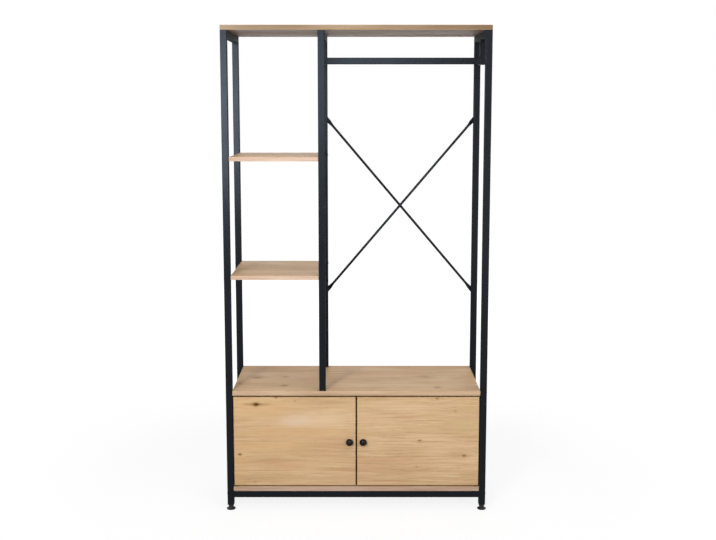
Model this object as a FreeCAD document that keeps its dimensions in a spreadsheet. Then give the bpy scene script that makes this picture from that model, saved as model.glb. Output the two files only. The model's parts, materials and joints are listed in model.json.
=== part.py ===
import FreeCAD, Part
import math
import os

import Sketcher
from FreeCAD import Placement, Rotation, Vector

# An open wardrobe: a square-tube steel frame, oak boards, a hanging bay and a two-door base cabinet.
# Millimetres, Z up, doors facing -Y, origin on the floor under the middle of the whole object.

# Driving dimensions
SIZES = (
    # Overall
    ("overall_width", 1000),        # across the outer faces of the legs
    ("overall_height", 1850),       # floor to the top panel's upper face
    ("frame_depth", 400),           # front faces of the front legs to rear faces of the rear legs
    # Square tube
    ("tube_size", 25),
    ("tube_wall", 1.2),
    ("tube_corner", 2),             # outer corner radius
    # Boards
    ("panel_thickness", 18),        # top panel, cabinet top and cabinet bottom
    ("shelf_thickness", 16),
    ("shelf_setback", 5),           # shelf edges behind the frame's front and rear faces
    ("side_thickness", 16),
    ("back_thickness", 3),
    ("front_setback", 2),           # cabinet and divider fronts behind the legs' front faces
    # Heights and bays
    ("left_bay_width", 333),        # clear width of the shelf bay
    ("upper_shelf_top", 1367),
    ("lower_shelf_top", 920),
    ("base_rail_rise", 29.5),       # leg's cut end to the base rails' underside
    ("cabinet_inside_height", 362), # bottom board to top board
    ("hanger_drop", 92),            # length of the struts that carry the hanging rail
    # Doors
    ("door_thickness", 16),
    ("door_gap", 5),                # above and below a door
    ("door_side_gap", 3),           # between a door and its leg
    ("door_middle_gap", 5),         # between the two doors
    ("pivot_inset", 9),             # pivot line to the door's outer edge
    ("pivot_depth", 6.5),           # pivot line to the door's front face
    ("pin_diameter", 5),
    ("pin_in_door", 20),            # length of a pivot pin inside the door
    ("pin_in_bush", 6),             # length of a pivot pin inside the cabinet board
    ("pin_clearance", 0.05),        # running clearance on the radius
    ("bush_diameter", 8),
    ("bush_length", 7),             # inside the board
    ("bush_flange", 11),            # flange diameter
    ("door_float", 0.3),            # air between a door and its bush flanges
    ("swing_clearance", 0.7),       # side panel to the turning door corner
    # Knobs
    ("knob_inset", 23.5),           # knob axis to the door's meeting edge
    ("knob_base", 17),
    ("knob_base_height", 2.5),
    ("knob_flare", 2.5),            # height in which the base draws in to the neck
    ("knob_neck", 11),
    ("knob_neck_length", 4),
    ("knob_diameter", 29),          # across the rim, before it is rounded
    ("knob_underside", 5),          # height in which the neck opens out to the rim
    ("knob_underside_radius", 29),
    ("knob_crown", 10),             # rim to the top of the crown
    ("knob_rim_round", 1.5),        # rounding of the rim
    ("knob_thread_depth", 10),
    ("knob_screw_diameter", 4),
    ("knob_screw_bite", 8),         # length of a knob screw inside the knob
    # Door catches
    ("catch_width", 40),
    ("catch_height", 14),
    ("catch_depth", 15),
    ("catch_inset", 12),            # catch to the middle of the cabinet
    ("catch_gap", 0.3),             # magnet to strike plate
    ("catch_block", 22),            # width of the block that holds the magnet
    ("catch_ear", 3.5),             # thickness of the ears beside the block
    ("catch_corner", 3),            # corner radius of the ears
    ("magnet_width", 18),
    ("magnet_height", 7.5),
    ("magnet_depth", 11),
    ("magnet_base", 1.5),           # catch's underside to the magnet
    ("pole_thickness", 2),
    ("pole_lip", 1),                # pole plates ahead of the magnet between them
    ("catch_screw_diameter", 3),
    ("catch_screw_head", 6),
    ("catch_screw_bite", 10),       # length of a catch screw inside the cabinet top
    ("strike_thickness", 1.5),
    ("strike_height", 12),
    ("strike_corner", 3),
    ("strike_pin", 3),              # diameter of the pin that holds a strike plate in its door
    ("strike_pin_length", 8),
    # Crossed braces
    ("brace_above_shelf", 147),     # upper fixing holes above the upper shelf
    ("brace_below_shelf", 133),     # lower fixing holes below the lower shelf's top
    ("brace_diameter", 10),
    ("brace_gap", 0.2),             # between the two rods where they cross
    ("brace_tab_width", 16),
    ("brace_tab_thickness", 4),
    ("brace_tab_length", 28),       # fixing hole to where the flat begins to round
    ("brace_round_length", 22),     # from flat to full round
    # Levelling feet
    ("foot_diameter", 34),
    ("foot_rim", 4.5),              # thickness of the disc at its rim
    ("foot_chamfer", 1),
    ("foot_neck", 18),
    ("foot_slope", 3.5),            # height in which the rim draws in to the neck
    ("foot_neck_height", 7),
    ("foot_in_collar", 1.5),        # length of a foot's neck inside the collar of its leg plug
    ("foot_travel", 5),             # air above a foot's neck
    ("stud_diameter", 8),
    ("stud_seat", 4),               # floor to the stud's lower end, inside the foot
    # Plugs
    ("plug_length", 16),
    ("plug_clearance", 0.1),        # each side, plug to tube wall
    ("collar_top", 23),             # diameter of a leg plug's collar at the leg
    ("collar_bottom", 21),
    ("collar_height", 7),
    ("cap_thickness", 2),
    ("cap_insert", 5),              # length of a strut cap inside its tube
    # Fasteners
    ("bolt_diameter", 6),
    ("bolt_head", 10.5),
    ("bolt_head_height", 1.8),
    ("bolt_bite", 12),              # length of a bolt inside a threaded plug
    ("screw_diameter", 5),
    ("screw_head", 9),
    ("screw_head_height", 1.5),
    ("head_bevel", 2),              # rim of a head to its flat crown, on the radius
    ("head_rim", 0.6),              # height of a head's rim
    ("screw_bite", 14),             # length of a wood screw inside the end of a board
    ("screw_cover", 4),             # board left beyond a screw that goes through its face
    ("cabinet_screw_rise", 2),      # cabinet top screws above the board's middle, clear of the bushes
    ("brace_screw_bite", 10),       # length of a brace screw inside its post
    ("end_inset", 45),              # top panel screws to the ends of their rails
    ("floor_screw_inset", 90),      # cabinet bottom screws to the ends of their rails
    ("hole_clearance", 0.15),       # on the radius, round every fastener and dowel
    ("dowel_diameter", 8),
    ("dowel_cover", 6),             # board left beyond a dowel's end
    ("dowel_in_side", 18),
    ("dowel_inset", 60),            # dowels to the front and rear edges of a side panel
)

doc = FreeCAD.newDocument("wardrobe")
sheet = doc.addObject("Spreadsheet::Sheet", "Sizes")
for row, (alias, number) in enumerate(SIZES, start=1):
    sheet.set(f"A{row}", alias)
    sheet.set(f"B{row}", str(number))
    sheet.setAlias(f"B{row}", alias)
doc.recompute()

nodes = []


def named(alias):
    """Formula of one driving dimension."""
    return f"Sizes.{alias}"


def value(formula):
    """Number that a formula gives with the present sizes."""
    return float(sheet.evalExpression(str(formula)))


# Shared places, as formulas on the sheet
tube = named("tube_size")
panel = named("panel_thickness")
side_board = named("side_thickness")
half_width = f"({named('overall_width')} / 2)"
inner_half = f"({half_width} - {tube})"
brace_offset = f"(({named('brace_diameter')} + {named('brace_gap')}) / 2)"
brace_behind = f"({named('brace_tab_thickness')} / 2 + {brace_offset} + {named('brace_diameter')} / 2)"
knob_neck_start = f"({named('knob_base_height')} + {named('knob_flare')})"
knob_neck_end = f"({knob_neck_start} + {named('knob_neck_length')})"
knob_rim = f"({knob_neck_end} + {named('knob_underside')})"
knob_projection = f"({knob_rim} + {named('knob_crown')})"
knob_ahead = f"({knob_projection} - {named('front_setback')})"
frame_middle = f"(({knob_ahead} - {brace_behind}) / 2)"
front = f"({frame_middle} - {named('frame_depth')} / 2)"
rear = f"({frame_middle} + {named('frame_depth')} / 2)"
rear_leg_front = f"({rear} - {tube})"
board_front = f"({front} + {named('front_setback')})"
board_depth = f"({named('frame_depth')} - {named('front_setback')})"
top_underside = f"({named('overall_height')} - {panel})"
top_rail_bottom = f"({top_underside} - {tube})"
divider_left = f"(-{inner_half} + {named('left_bay_width')})"
divider_right = f"({divider_left} + {tube})"
rail_bottom = f"({top_rail_bottom} - {named('hanger_drop')})"
foot_shoulder = f"({named('foot_rim')} + {named('foot_slope')})"
foot_height = f"({foot_shoulder} + {named('foot_neck_height')})"
collar_height = named("collar_height")
leg_end = f"({foot_height} - {named('foot_in_collar')} + {collar_height})"
base_rail_bottom = f"({leg_end} + {named('base_rail_rise')})"
base_rail_top = f"({base_rail_bottom} + {tube})"
cabinet_floor = f"({base_rail_top} + {panel})"
cabinet_clear = named("cabinet_inside_height")
cabinet_ceiling = f"({cabinet_floor} + {cabinet_clear})"
cabinet_top_face = f"({cabinet_ceiling} + {panel})"
brace_upper = f"({named('upper_shelf_top')} + {named('brace_above_shelf')})"
brace_lower = f"({named('lower_shelf_top')} - {named('brace_below_shelf')})"
dowel_in_panel = f"({panel} - {named('dowel_cover')})"
door_width = f"({inner_half} - {named('door_side_gap')} - {named('door_middle_gap')} / 2)"
door_height = f"({cabinet_clear} - 2 * {named('door_gap')})"
door_bottom = f"({cabinet_floor} + {named('door_gap')})"
door_rear = f"({board_front} + {named('door_thickness')})"
pivot_x = f"({inner_half} - {named('door_side_gap')} - {named('pivot_inset')})"
pivot_y = f"({board_front} + {named('pivot_depth')})"
corner_swing = f"hypot({named('pivot_inset')}; {named('door_thickness')} - {named('pivot_depth')})"
side_front = f"({pivot_y} + {corner_swing} + {named('swing_clearance')})"
side_rear = f"({rear} - {named('back_thickness')})"
side_depth = f"({side_rear} - {side_front})"
knob_x = f"({named('door_middle_gap')} / 2 + {named('knob_inset')})"
knob_z = f"({door_bottom} + {door_height} / 2)"
leg_middle_x = f"({half_width} - {tube} / 2)"
front_leg_middle = f"({front} + {tube} / 2)"
rear_leg_middle = f"({rear} - {tube} / 2)"
divider_middle_x = f"({divider_left} + {tube} / 2)"
divider_front_middle = f"({board_front} + {tube} / 2)"
rail_middle_z = f"({rail_bottom} + {tube} / 2)"
base_rail_middle_z = f"({base_rail_bottom} + {tube} / 2)"

# Each axis: the origin plane square to it, whether a pad has to be reversed to run along +axis,
# and the sign of the axis along that plane's normal
AXES = {
    "X": ("YZ_Plane", False, 1),
    "Y": ("XZ_Plane", True, -1),
    "Z": ("XY_Plane", False, 1),
}

# Distance within which two places count as one
SAME_PLACE = 0.01

# Index numbers of a sketch's own geometry
ORIGIN_INDEX = (-1, 1)
UPRIGHT_AXIS_INDEX = -2
LEVEL_AXIS_INDEX = -1
CENTRE_INDEX = 3


def place(item, x, y, z):
    """Bind where an object's own origin stands."""
    for direction, formula in zip("xyz", (x, y, z)):
        item.setExpression(f"Placement.Base.{direction}", str(formula))


def node(item, label):
    """Name an object as one of the pieces to be written."""
    item.Label = label
    nodes.append(item)
    return item


def new_body(name):
    return doc.addObject("PartDesign::Body", name)


def new_sketch(body, axis, offset=None):
    """Sketch on the body's origin plane square to an axis, or at an offset along that axis."""
    plane_role, _, sign = AXES[axis]
    sketch = body.newObject("Sketcher::SketchObject", f"{body.Name}_sketch")
    plane = next(item for item in body.Origin.OriginFeatures if item.Role == plane_role)
    sketch.AttachmentSupport = [(plane, "")]
    sketch.MapMode = "FlatFace"
    if offset is not None:
        sketch.setExpression("AttachmentOffset.Base.z", f"{sign} * {offset}")
    return sketch


def bind_point(sketch, geometry, point, x, y):
    """Tie one point of a sketch to two formulas, or to an axis where the formula is zero."""
    rules = (("DistanceX", x, UPRIGHT_AXIS_INDEX), ("DistanceY", y, LEVEL_AXIS_INDEX))
    for kind, formula, axis_index in rules:
        if formula == 0:
            sketch.addConstraint(Sketcher.Constraint("PointOnObject", geometry, point, axis_index))
            continue
        rule = Sketcher.Constraint(kind, *ORIGIN_INDEX, geometry, point, value(formula))
        index = sketch.addConstraint(rule)
        sketch.setExpression(f"Constraints[{index}]", str(formula))


def outline(sketch, corners):
    """Closed outline through corners (x, y), or (x, y, radius) where an arc bulges out to the next one."""
    points = [Vector(value(corner[0]), value(corner[1]), 0) for corner in corners]
    lines = []
    for index, corner in enumerate(corners):
        start = points[index]
        end = points[(index + 1) % len(points)]
        if len(corner) == 2:
            lines.append(sketch.addGeometry(Part.LineSegment(start, end)))
            continue
        chord = end - start
        radius = value(corner[2])
        outward = Vector(chord.y, -chord.x, 0).normalize()
        rise = radius - (radius ** 2 - (chord.Length / 2) ** 2) ** 0.5
        middle = (start + end) / 2 + outward * rise
        arc = sketch.addGeometry(Part.Arc(start, middle, end))
        rule = sketch.addConstraint(Sketcher.Constraint("Radius", arc, radius))
        sketch.setExpression(f"Constraints[{rule}]", str(corner[2]))
        lines.append(arc)
    for index, line in enumerate(lines):
        following = lines[(index + 1) % len(lines)]
        sketch.addConstraint(Sketcher.Constraint("Coincident", line, 2, following, 1))
        bind_point(sketch, line, 1, *corners[index][:2])


def rectangle(sketch, width, height, inset=0):
    """Rectangle from the sketch's origin, drawn in by the inset on every side."""
    low = inset
    right = f"{width} - {inset}"
    upper = f"{height} - {inset}"
    outline(sketch, [(low, low), (right, low), (right, upper), (low, upper)])


def circles(sketch, spots, diameter):
    """Circles of one diameter round the spots."""
    for across, up in spots:
        centre = Vector(value(across), value(up), 0)
        circle = sketch.addGeometry(Part.Circle(centre, Vector(0, 0, 1), value(diameter) / 2))
        rule = sketch.addConstraint(Sketcher.Constraint("Diameter", circle, value(diameter)))
        sketch.setExpression(f"Constraints[{rule}]", str(diameter))
        bind_point(sketch, circle, CENTRE_INDEX, across, up)


def pad(body, sketch, axis, length, backwards=False):
    feature = body.newObject("PartDesign::Pad", f"{body.Name}_pad")
    feature.Profile = sketch
    feature.Reversed = AXES[axis][1] != backwards
    feature.setExpression("Length", str(length))
    doc.recompute()
    return feature


def pocket(body, sketch, axis, depth=None, from_far_face=False):
    """Cut a sketch into the body along an axis, right through without a depth."""
    before = body.Shape.Volume
    cut = body.newObject("PartDesign::Pocket", f"{body.Name}_cut")
    cut.Profile = sketch
    cut.Reversed = AXES[axis][1] == from_far_face
    if depth is None:
        cut.Type = "ThroughAll"
    else:
        cut.setExpression("Length", str(depth))
    doc.recompute()
    if body.Shape.Volume >= before:
        raise RuntimeError(f"{body.Name}: the sketch cuts nothing")


def round_edges(body, feature, edges, radius):
    rounding = body.newObject("PartDesign::Fillet", f"{body.Name}_rounding")
    rounding.Base = (feature, edges)
    rounding.setExpression("Radius", str(radius))
    doc.recompute()


def corner_edges(feature, axis):
    """Names of the edges along an axis at the corners of a feature's own box."""
    box = feature.Shape.BoundBox
    limits = {"x": (box.XMin, box.XMax), "y": (box.YMin, box.YMax), "z": (box.ZMin, box.ZMax)}
    del limits[axis.lower()]
    names = []
    for index, edge in enumerate(feature.Shape.Edges, start=1):
        start, end = edge.firstVertex().Point, edge.lastVertex().Point
        along_axis = all(abs(getattr(start, other) - getattr(end, other)) < SAME_PLACE for other in limits)
        at_corner = all(
            min(abs(getattr(start, other) - limit) for limit in pair) < SAME_PLACE
            for other, pair in limits.items())
        if along_axis and at_corner:
            names.append(f"Edge{index}")
    return names


def revolve(body, sketch):
    """Turn a half section about the sketch's upright axis."""
    feature = body.newObject("PartDesign::Revolution", f"{body.Name}_turned")
    feature.Profile = sketch
    feature.ReferenceAxis = (sketch, ["V_Axis"])
    feature.Angle = 360
    doc.recompute()
    return feature


def drill(body, axis, spots, diameter, depth=None, far_face=None):
    """Round holes along an axis, from the near face or from a far one, right through without a depth."""
    sketch = new_sketch(body, axis, far_face)
    circles(sketch, spots, diameter)
    pocket(body, sketch, axis, depth, far_face is not None)


def around(diameter):
    """Diameter of the hole that a fastener of this diameter passes through."""
    return f"({diameter} + 2 * {named('hole_clearance')})"


bolt_hole = around(named("bolt_diameter"))
screw_hole = around(named("screw_diameter"))
dowel_hole = around(named("dowel_diameter"))
screw_hole_depth = f"({named('screw_bite')} + {named('hole_clearance')})"


def square_tube(label, axis, length, corner):
    """Square tube along an axis, with its lowest corner at the place given."""
    body = new_body(label)
    sketch = new_sketch(body, axis)
    rectangle(sketch, tube, tube)
    rectangle(sketch, tube, tube, named("tube_wall"))
    extrusion = pad(body, sketch, axis, length)
    round_edges(body, extrusion, corner_edges(extrusion, axis), named("tube_corner"))
    place(body, *corner)
    doc.recompute()
    return node(body, label)


def board(label, width, depth, thickness, corner):
    """Flat board with its lowest corner at the place given."""
    body = new_body(label)
    sketch = new_sketch(body, "Z")
    rectangle(sketch, width, depth)
    pad(body, sketch, "Z", thickness)
    place(body, *corner)
    return node(body, label)


def copies(label, master, spots):
    """Group of separate solids: the master piece at each spot (x, y, z, rotation)."""
    links = []
    for x, y, z, rotation in spots:
        link = doc.addObject("App::Link", f"{label}_copy")
        link.LinkedObject = master
        link.Placement = Placement(Vector(), rotation)
        place(link, x, y, z)
        links.append(link)
    group = doc.addObject("Part::Compound", label)
    group.Links = links
    doc.recompute()
    return node(group, label)


UPRIGHT = Rotation()
INVERTED = Rotation(Vector(1, 0, 0), 180)
ALONG_PLUS_X = Rotation(Vector(0, 1, 0), 90)
ALONG_MINUS_X = Rotation(Vector(0, 1, 0), -90)
ALONG_MINUS_Y = Rotation(Vector(1, 0, 0), 90)


# Legs, with holes for the boards' screws, the base rails' bolts and the braces
leg_length = f"({top_underside} - {leg_end})"
shelf_levels = [
    f"({named(top)} - {named('shelf_thickness')} / 2)"
    for top in ("upper_shelf_top", "lower_shelf_top")
]
cabinet_screw_height = f"({panel} / 2 + {named('cabinet_screw_rise')})"
cabinet_top_level = f"({cabinet_ceiling} + {cabinet_screw_height})"
tube_middle = f"{tube} / 2"
brace_levels = [brace_upper, brace_lower]


def on_leg(levels):
    """Spots on a leg's centre line at heights above the floor."""
    return [(tube_middle, f"{level} - {leg_end}") for level in levels]


leg_corners = {
    "left_front_leg": (f"-{half_width}", front),
    "left_rear_leg": (f"-{half_width}", rear_leg_front),
    "right_front_leg": (inner_half, front),
    "right_rear_leg": (inner_half, rear_leg_front),
}
for label, (leg_x, leg_y) in leg_corners.items():
    leg = square_tube(label, "Z", leg_length, (leg_x, leg_y, leg_end))
    screw_levels = [cabinet_top_level]
    if label.startswith("left"):
        screw_levels += shelf_levels
    drill(leg, "X", on_leg(screw_levels), screw_hole)
    drill(leg, "X", on_leg([base_rail_middle_z]), bolt_hole)
    if label == "right_rear_leg":
        drill(leg, "Y", on_leg(brace_levels), screw_hole)

# Rails that join the legs of one side, front to back
side_rail_length = f"({named('frame_depth')} - 2 * {tube})"
side_rail_y = f"({front} + {tube})"
panel_screw_spots = [
    (tube_middle, named("end_inset")),
    (tube_middle, f"{side_rail_length} - {named('end_inset')}"),
]
for side, rail_x in (("left", f"-{half_width}"), ("right", inner_half)):
    top_rail = square_tube(
        f"{side}_top_rail", "Y", side_rail_length, (rail_x, side_rail_y, top_rail_bottom))
    drill(top_rail, "Z", panel_screw_spots, screw_hole)
    square_tube(f"{side}_base_rail", "Y", side_rail_length, (rail_x, side_rail_y, base_rail_bottom))

# Rails that carry the cabinet, leg to leg
cross_rail_length = f"(2 * {inner_half})"
floor_screw_spots = [
    (named("floor_screw_inset"), tube_middle),
    (f"{cross_rail_length} - {named('floor_screw_inset')}", tube_middle),
]
for label, rail_y in (("front_base_rail", front), ("rear_base_rail", rear_leg_front)):
    base_rail = square_tube(label, "X", cross_rail_length, (f"-{inner_half}", rail_y, base_rail_bottom))
    drill(base_rail, "Z", floor_screw_spots, screw_hole)

# Divider frame that stands on the cabinet
post_length = f"({top_underside} - {cabinet_top_face})"


def on_post(levels):
    """Spots on a divider post's centre line at heights above the floor."""
    return [(tube_middle, f"{level} - {cabinet_top_face}") for level in levels]


for label, post_y in (("divider_front_post", board_front), ("divider_rear_post", rear_leg_front)):
    post = square_tube(label, "Z", post_length, (divider_left, post_y, cabinet_top_face))
    drill(post, "X", on_post(shelf_levels), screw_hole)
    if label == "divider_rear_post":
        drill(post, "Y", on_post(brace_levels), screw_hole)

divider_rail_y = f"({board_front} + {tube})"
divider_rail_length = f"({rear_leg_front} - {divider_rail_y})"
divider_top_rail = square_tube(
    "divider_top_rail", "Y", divider_rail_length, (divider_left, divider_rail_y, top_rail_bottom))
divider_screw_spots = [
    (tube_middle, named("end_inset")),
    (tube_middle, f"{divider_rail_length} - {named('end_inset')}"),
]
drill(divider_top_rail, "Z", divider_screw_spots, screw_hole)

# Hanging rail between two short struts at mid depth
hanger_y = f"({frame_middle} - {tube} / 2)"
for label, strut_x in (("divider_hanger_strut", divider_left), ("right_hanger_strut", inner_half)):
    strut = square_tube(label, "Z", named("hanger_drop"), (strut_x, hanger_y, rail_bottom))
    drill(strut, "X", [(tube_middle, tube_middle)], bolt_hole)
hanging_rail_length = f"({inner_half} - {divider_right})"
square_tube("hanging_rail", "X", hanging_rail_length, (divider_right, hanger_y, rail_bottom))


# Crossed braces: round rods whose ends are pressed flat and set to one side, so that the rods pass
# each other and all four flats lie on the rear faces of the posts
brace_run = f"({leg_middle_x} - {divider_middle_x})"
brace_rise = f"({brace_upper} - {brace_lower})"
brace_span = value(f"hypot({brace_run}; {brace_rise})")
brace_angle = math.degrees(math.atan2(value(brace_rise), value(brace_run)))


def flat_section(at_x):
    """Four-sided section of a flattened end."""
    half_thick = value(named("brace_tab_thickness")) / 2
    half_wide = value(named("brace_tab_width")) / 2
    turns = ((-1, -1), (1, -1), (1, 1), (-1, 1))
    points = [Vector(at_x, y * half_thick, z * half_wide) for y, z in turns]
    return Part.makePolygon(points + points[:1])


def round_section(at_x, offset):
    """Rod section cut into four arcs, one for each side of the flat."""
    reach = value(named("brace_diameter")) / 2
    slant = reach * 0.5 ** 0.5
    centre = Vector(at_x, offset, 0)
    corners = ((-slant, -slant), (slant, -slant), (slant, slant), (-slant, slant))
    crowns = ((0, -reach), (reach, 0), (0, reach), (-reach, 0))
    arcs = []
    for index, (y, z) in enumerate(corners):
        following = corners[(index + 1) % len(corners)]
        start = centre + Vector(0, y, z)
        crown = centre + Vector(0, *crowns[index])
        end = centre + Vector(0, *following)
        arcs.append(Part.Arc(start, crown, end).toShape())
    return Part.Wire(arcs)


def brace(label, offset, start_level, slope):
    """Rod from the divider's rear post to the right rear leg, its axis set off from its flats."""
    tab_length = value(named("brace_tab_length"))
    half_wide = value(named("brace_tab_width")) / 2
    thickness = value(named("brace_tab_thickness"))
    hole_radius = value(screw_hole) / 2
    flat_ends = (tab_length, brace_span - tab_length)
    rounding = value(named("brace_round_length"))
    round_ends = (flat_ends[0] + rounding, flat_ends[1] - rounding)
    reach = value(named("brace_diameter")) / 2
    along = Vector(1, 0, 0)
    across = Vector(0, 1, 0)
    rod = Part.makeCylinder(reach, round_ends[1] - round_ends[0], Vector(round_ends[0], offset, 0), along)
    pieces = []
    for hole_x, flat_x, round_x in zip((0, brace_span), flat_ends, round_ends):
        pieces.append(Part.makeLoft([flat_section(flat_x), round_section(round_x, offset)], True, True))
        tab_corner = Vector(min(hole_x, flat_x), -thickness / 2, -half_wide)
        pieces.append(Part.makeBox(tab_length, thickness, 2 * half_wide, tab_corner))
        pieces.append(Part.makeCylinder(half_wide, thickness, Vector(hole_x, -thickness / 2, 0), across))
    shape = rod.multiFuse(pieces)
    for hole_x in (0, brace_span):
        hole_start = Vector(hole_x, -thickness / 2, 0)
        shape = shape.cut(Part.makeCylinder(hole_radius, thickness, hole_start, across))
    item = doc.addObject("Part::Feature", label)
    item.Shape = shape.removeSplitter()
    tab_middle = f"{rear} + {named('brace_tab_thickness')} / 2"
    turned = Rotation(Vector(0, -1, 0), slope * brace_angle)
    start = Vector(value(divider_middle_x), value(tab_middle), value(start_level))
    item.Placement = Placement(start, turned)
    return node(item, label)


brace("rising_brace", -value(brace_offset), brace_lower, 1)
brace("falling_brace", value(brace_offset), brace_upper, -1)


# Top panel, screwed up from the three top rails
top_panel = board(
    "top_panel", named("overall_width"), named("frame_depth"), panel,
    (f"-{half_width}", front, top_underside))
rail_centres = (f"-{leg_middle_x}", divider_middle_x, leg_middle_x)
side_screw_y = [f"({side_rail_y} + {up})" for _, up in panel_screw_spots]
divider_screw_y = [f"({divider_rail_y} + {up})" for _, up in divider_screw_spots]
panel_screws = [
    (rail_x, screw_y)
    for rail_x, screw_ys in zip(rail_centres, (side_screw_y, divider_screw_y, side_screw_y))
    for screw_y in screw_ys
]
panel_holes = [(f"{rail_x} + {half_width}", f"{screw_y} - {front}") for rail_x, screw_y in panel_screws]
panel_bite = f"({panel} - {named('screw_cover')})"
panel_hole_depth = f"({panel_bite} + {named('hole_clearance')})"
drill(top_panel, "Z", panel_holes, screw_hole, panel_hole_depth)

# Shelves between the left legs and the divider, screwed through both
shelf_depth = f"({named('frame_depth')} - 2 * {named('shelf_setback')})"
shelf_front = f"({front} + {named('shelf_setback')})"
shelf_holes = [
    (f"{middle} - {shelf_front}", f"{named('shelf_thickness')} / 2")
    for middle in (front_leg_middle, rear_leg_middle)
]
post_holes = [
    (f"{middle} - {shelf_front}", f"{named('shelf_thickness')} / 2")
    for middle in (divider_front_middle, rear_leg_middle)
]
for label in ("upper_shelf", "lower_shelf"):
    shelf_bottom = f"{named(label + '_top')} - {named('shelf_thickness')}"
    shelf = board(
        label, named("left_bay_width"), shelf_depth, named("shelf_thickness"),
        (f"-{inner_half}", shelf_front, shelf_bottom))
    drill(shelf, "X", shelf_holes, screw_hole, screw_hole_depth)
    drill(shelf, "X", post_holes, screw_hole, screw_hole_depth, named("left_bay_width"))

# Cabinet boards
cabinet_width = f"(2 * {inner_half})"
cabinet_top = board(
    "cabinet_top", cabinet_width, board_depth, panel, (f"-{inner_half}", board_front, cabinet_ceiling))
leg_screw_holes = [
    (f"{middle} - {board_front}", cabinet_screw_height)
    for middle in (front_leg_middle, rear_leg_middle)
]
drill(cabinet_top, "X", leg_screw_holes, screw_hole, screw_hole_depth)
drill(cabinet_top, "X", leg_screw_holes, screw_hole, screw_hole_depth, cabinet_width)
divider_feet = [(divider_middle_x, divider_front_middle), (divider_middle_x, rear_leg_middle)]
divider_foot_holes = [(f"{x} + {inner_half}", f"{y} - {board_front}") for x, y in divider_feet]
bolt_seat = f"({named('bolt_head_height')} + {named('hole_clearance')})"
drill(cabinet_top, "Z", divider_foot_holes, bolt_hole)
drill(cabinet_top, "Z", divider_foot_holes, around(named("bolt_head")), bolt_seat)

cabinet_bottom = board(
    "cabinet_bottom", cabinet_width, board_depth, panel, (f"-{inner_half}", board_front, base_rail_top))
floor_screws = [
    (f"({along} - {inner_half})", rail_middle)
    for rail_middle in (front_leg_middle, rear_leg_middle)
    for along, _ in floor_screw_spots
]
floor_holes = [(f"{x} + {inner_half}", f"{y} - {board_front}") for x, y in floor_screws]
drill(cabinet_bottom, "Z", floor_holes, screw_hole, panel_hole_depth)

side_panel_middle = f"({inner_half} - {side_board} / 2)"
dowel_rows = [f"({side_front} + {named('dowel_inset')})", f"({side_rear} - {named('dowel_inset')})"]
dowel_spots = [(x, y) for x in (f"-{side_panel_middle}", side_panel_middle) for y in dowel_rows]
dowel_holes = [(f"{x} + {inner_half}", f"{y} - {board_front}") for x, y in dowel_spots]
panel_dowel_depth = f"({dowel_in_panel} + {named('hole_clearance')})"
side_dowel_depth = f"({named('dowel_in_side')} + {named('hole_clearance')})"
drill(cabinet_top, "Z", dowel_holes, dowel_hole, panel_dowel_depth)
drill(cabinet_bottom, "Z", dowel_holes, dowel_hole, panel_dowel_depth, panel)

pivot_holes = [(f"{x} + {inner_half}", f"{pivot_y} - {board_front}") for x in (f"-{pivot_x}", pivot_x)]
bush_hole = around(named("bush_diameter"))
bush_hole_depth = f"({named('bush_length')} + {named('hole_clearance')})"
drill(cabinet_top, "Z", pivot_holes, bush_hole, bush_hole_depth)
drill(cabinet_bottom, "Z", pivot_holes, bush_hole, bush_hole_depth, panel)

side_dowel_holes = [(f"{side_board} / 2", f"{y} - {side_front}") for y in dowel_rows]
for side, side_x in (("left", f"-{inner_half}"), ("right", f"({inner_half} - {side_board})")):
    side_panel = board(
        f"cabinet_{side}_side", side_board, side_depth, cabinet_clear,
        (side_x, side_front, cabinet_floor))
    drill(side_panel, "Z", side_dowel_holes, dowel_hole, side_dowel_depth)
    drill(side_panel, "Z", side_dowel_holes, dowel_hole, side_dowel_depth, cabinet_clear)

board(
    "cabinet_back", cabinet_width, named("back_thickness"), cabinet_clear,
    (f"-{inner_half}", side_rear, cabinet_floor))


# Doors, drilled for their pivot pins, knob screws and strike plates
pin_hole = around(named("pin_diameter"))
pin_hole_depth = f"({named('pin_in_door')} + {named('hole_clearance')})"
knob_screw_hole = around(named("knob_screw_diameter"))
strike_pin_hole = around(named("strike_pin"))
strike_hole_depth = f"({named('strike_pin_length')} + {named('hole_clearance')})"
strike_middle = f"({named('catch_inset')} + {named('catch_width')} / 2)"
door_layout = {
    "left": (f"-({inner_half} - {named('door_side_gap')})", named("pivot_inset"), -1),
    "right": (f"({named('door_middle_gap')} / 2)", f"({door_width} - {named('pivot_inset')})", 1),
}
for side, (door_x, pin_along, hand) in door_layout.items():
    door = board(
        f"{side}_door", door_width, named("door_thickness"), door_height,
        (door_x, board_front, door_bottom))
    pin_spot = [(pin_along, named("pivot_depth"))]
    drill(door, "Z", pin_spot, pin_hole, pin_hole_depth)
    drill(door, "Z", pin_spot, pin_hole, pin_hole_depth, door_height)
    drill(door, "Y", [(f"{hand} * {knob_x} - {door_x}", f"{door_height} / 2")], knob_screw_hole)
    strike_spot = (f"{hand} * {strike_middle} - {door_x}", f"{door_height} - {named('strike_height')} / 2")
    drill(door, "Y", [strike_spot], strike_pin_hole, strike_hole_depth, named("door_thickness"))

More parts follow.
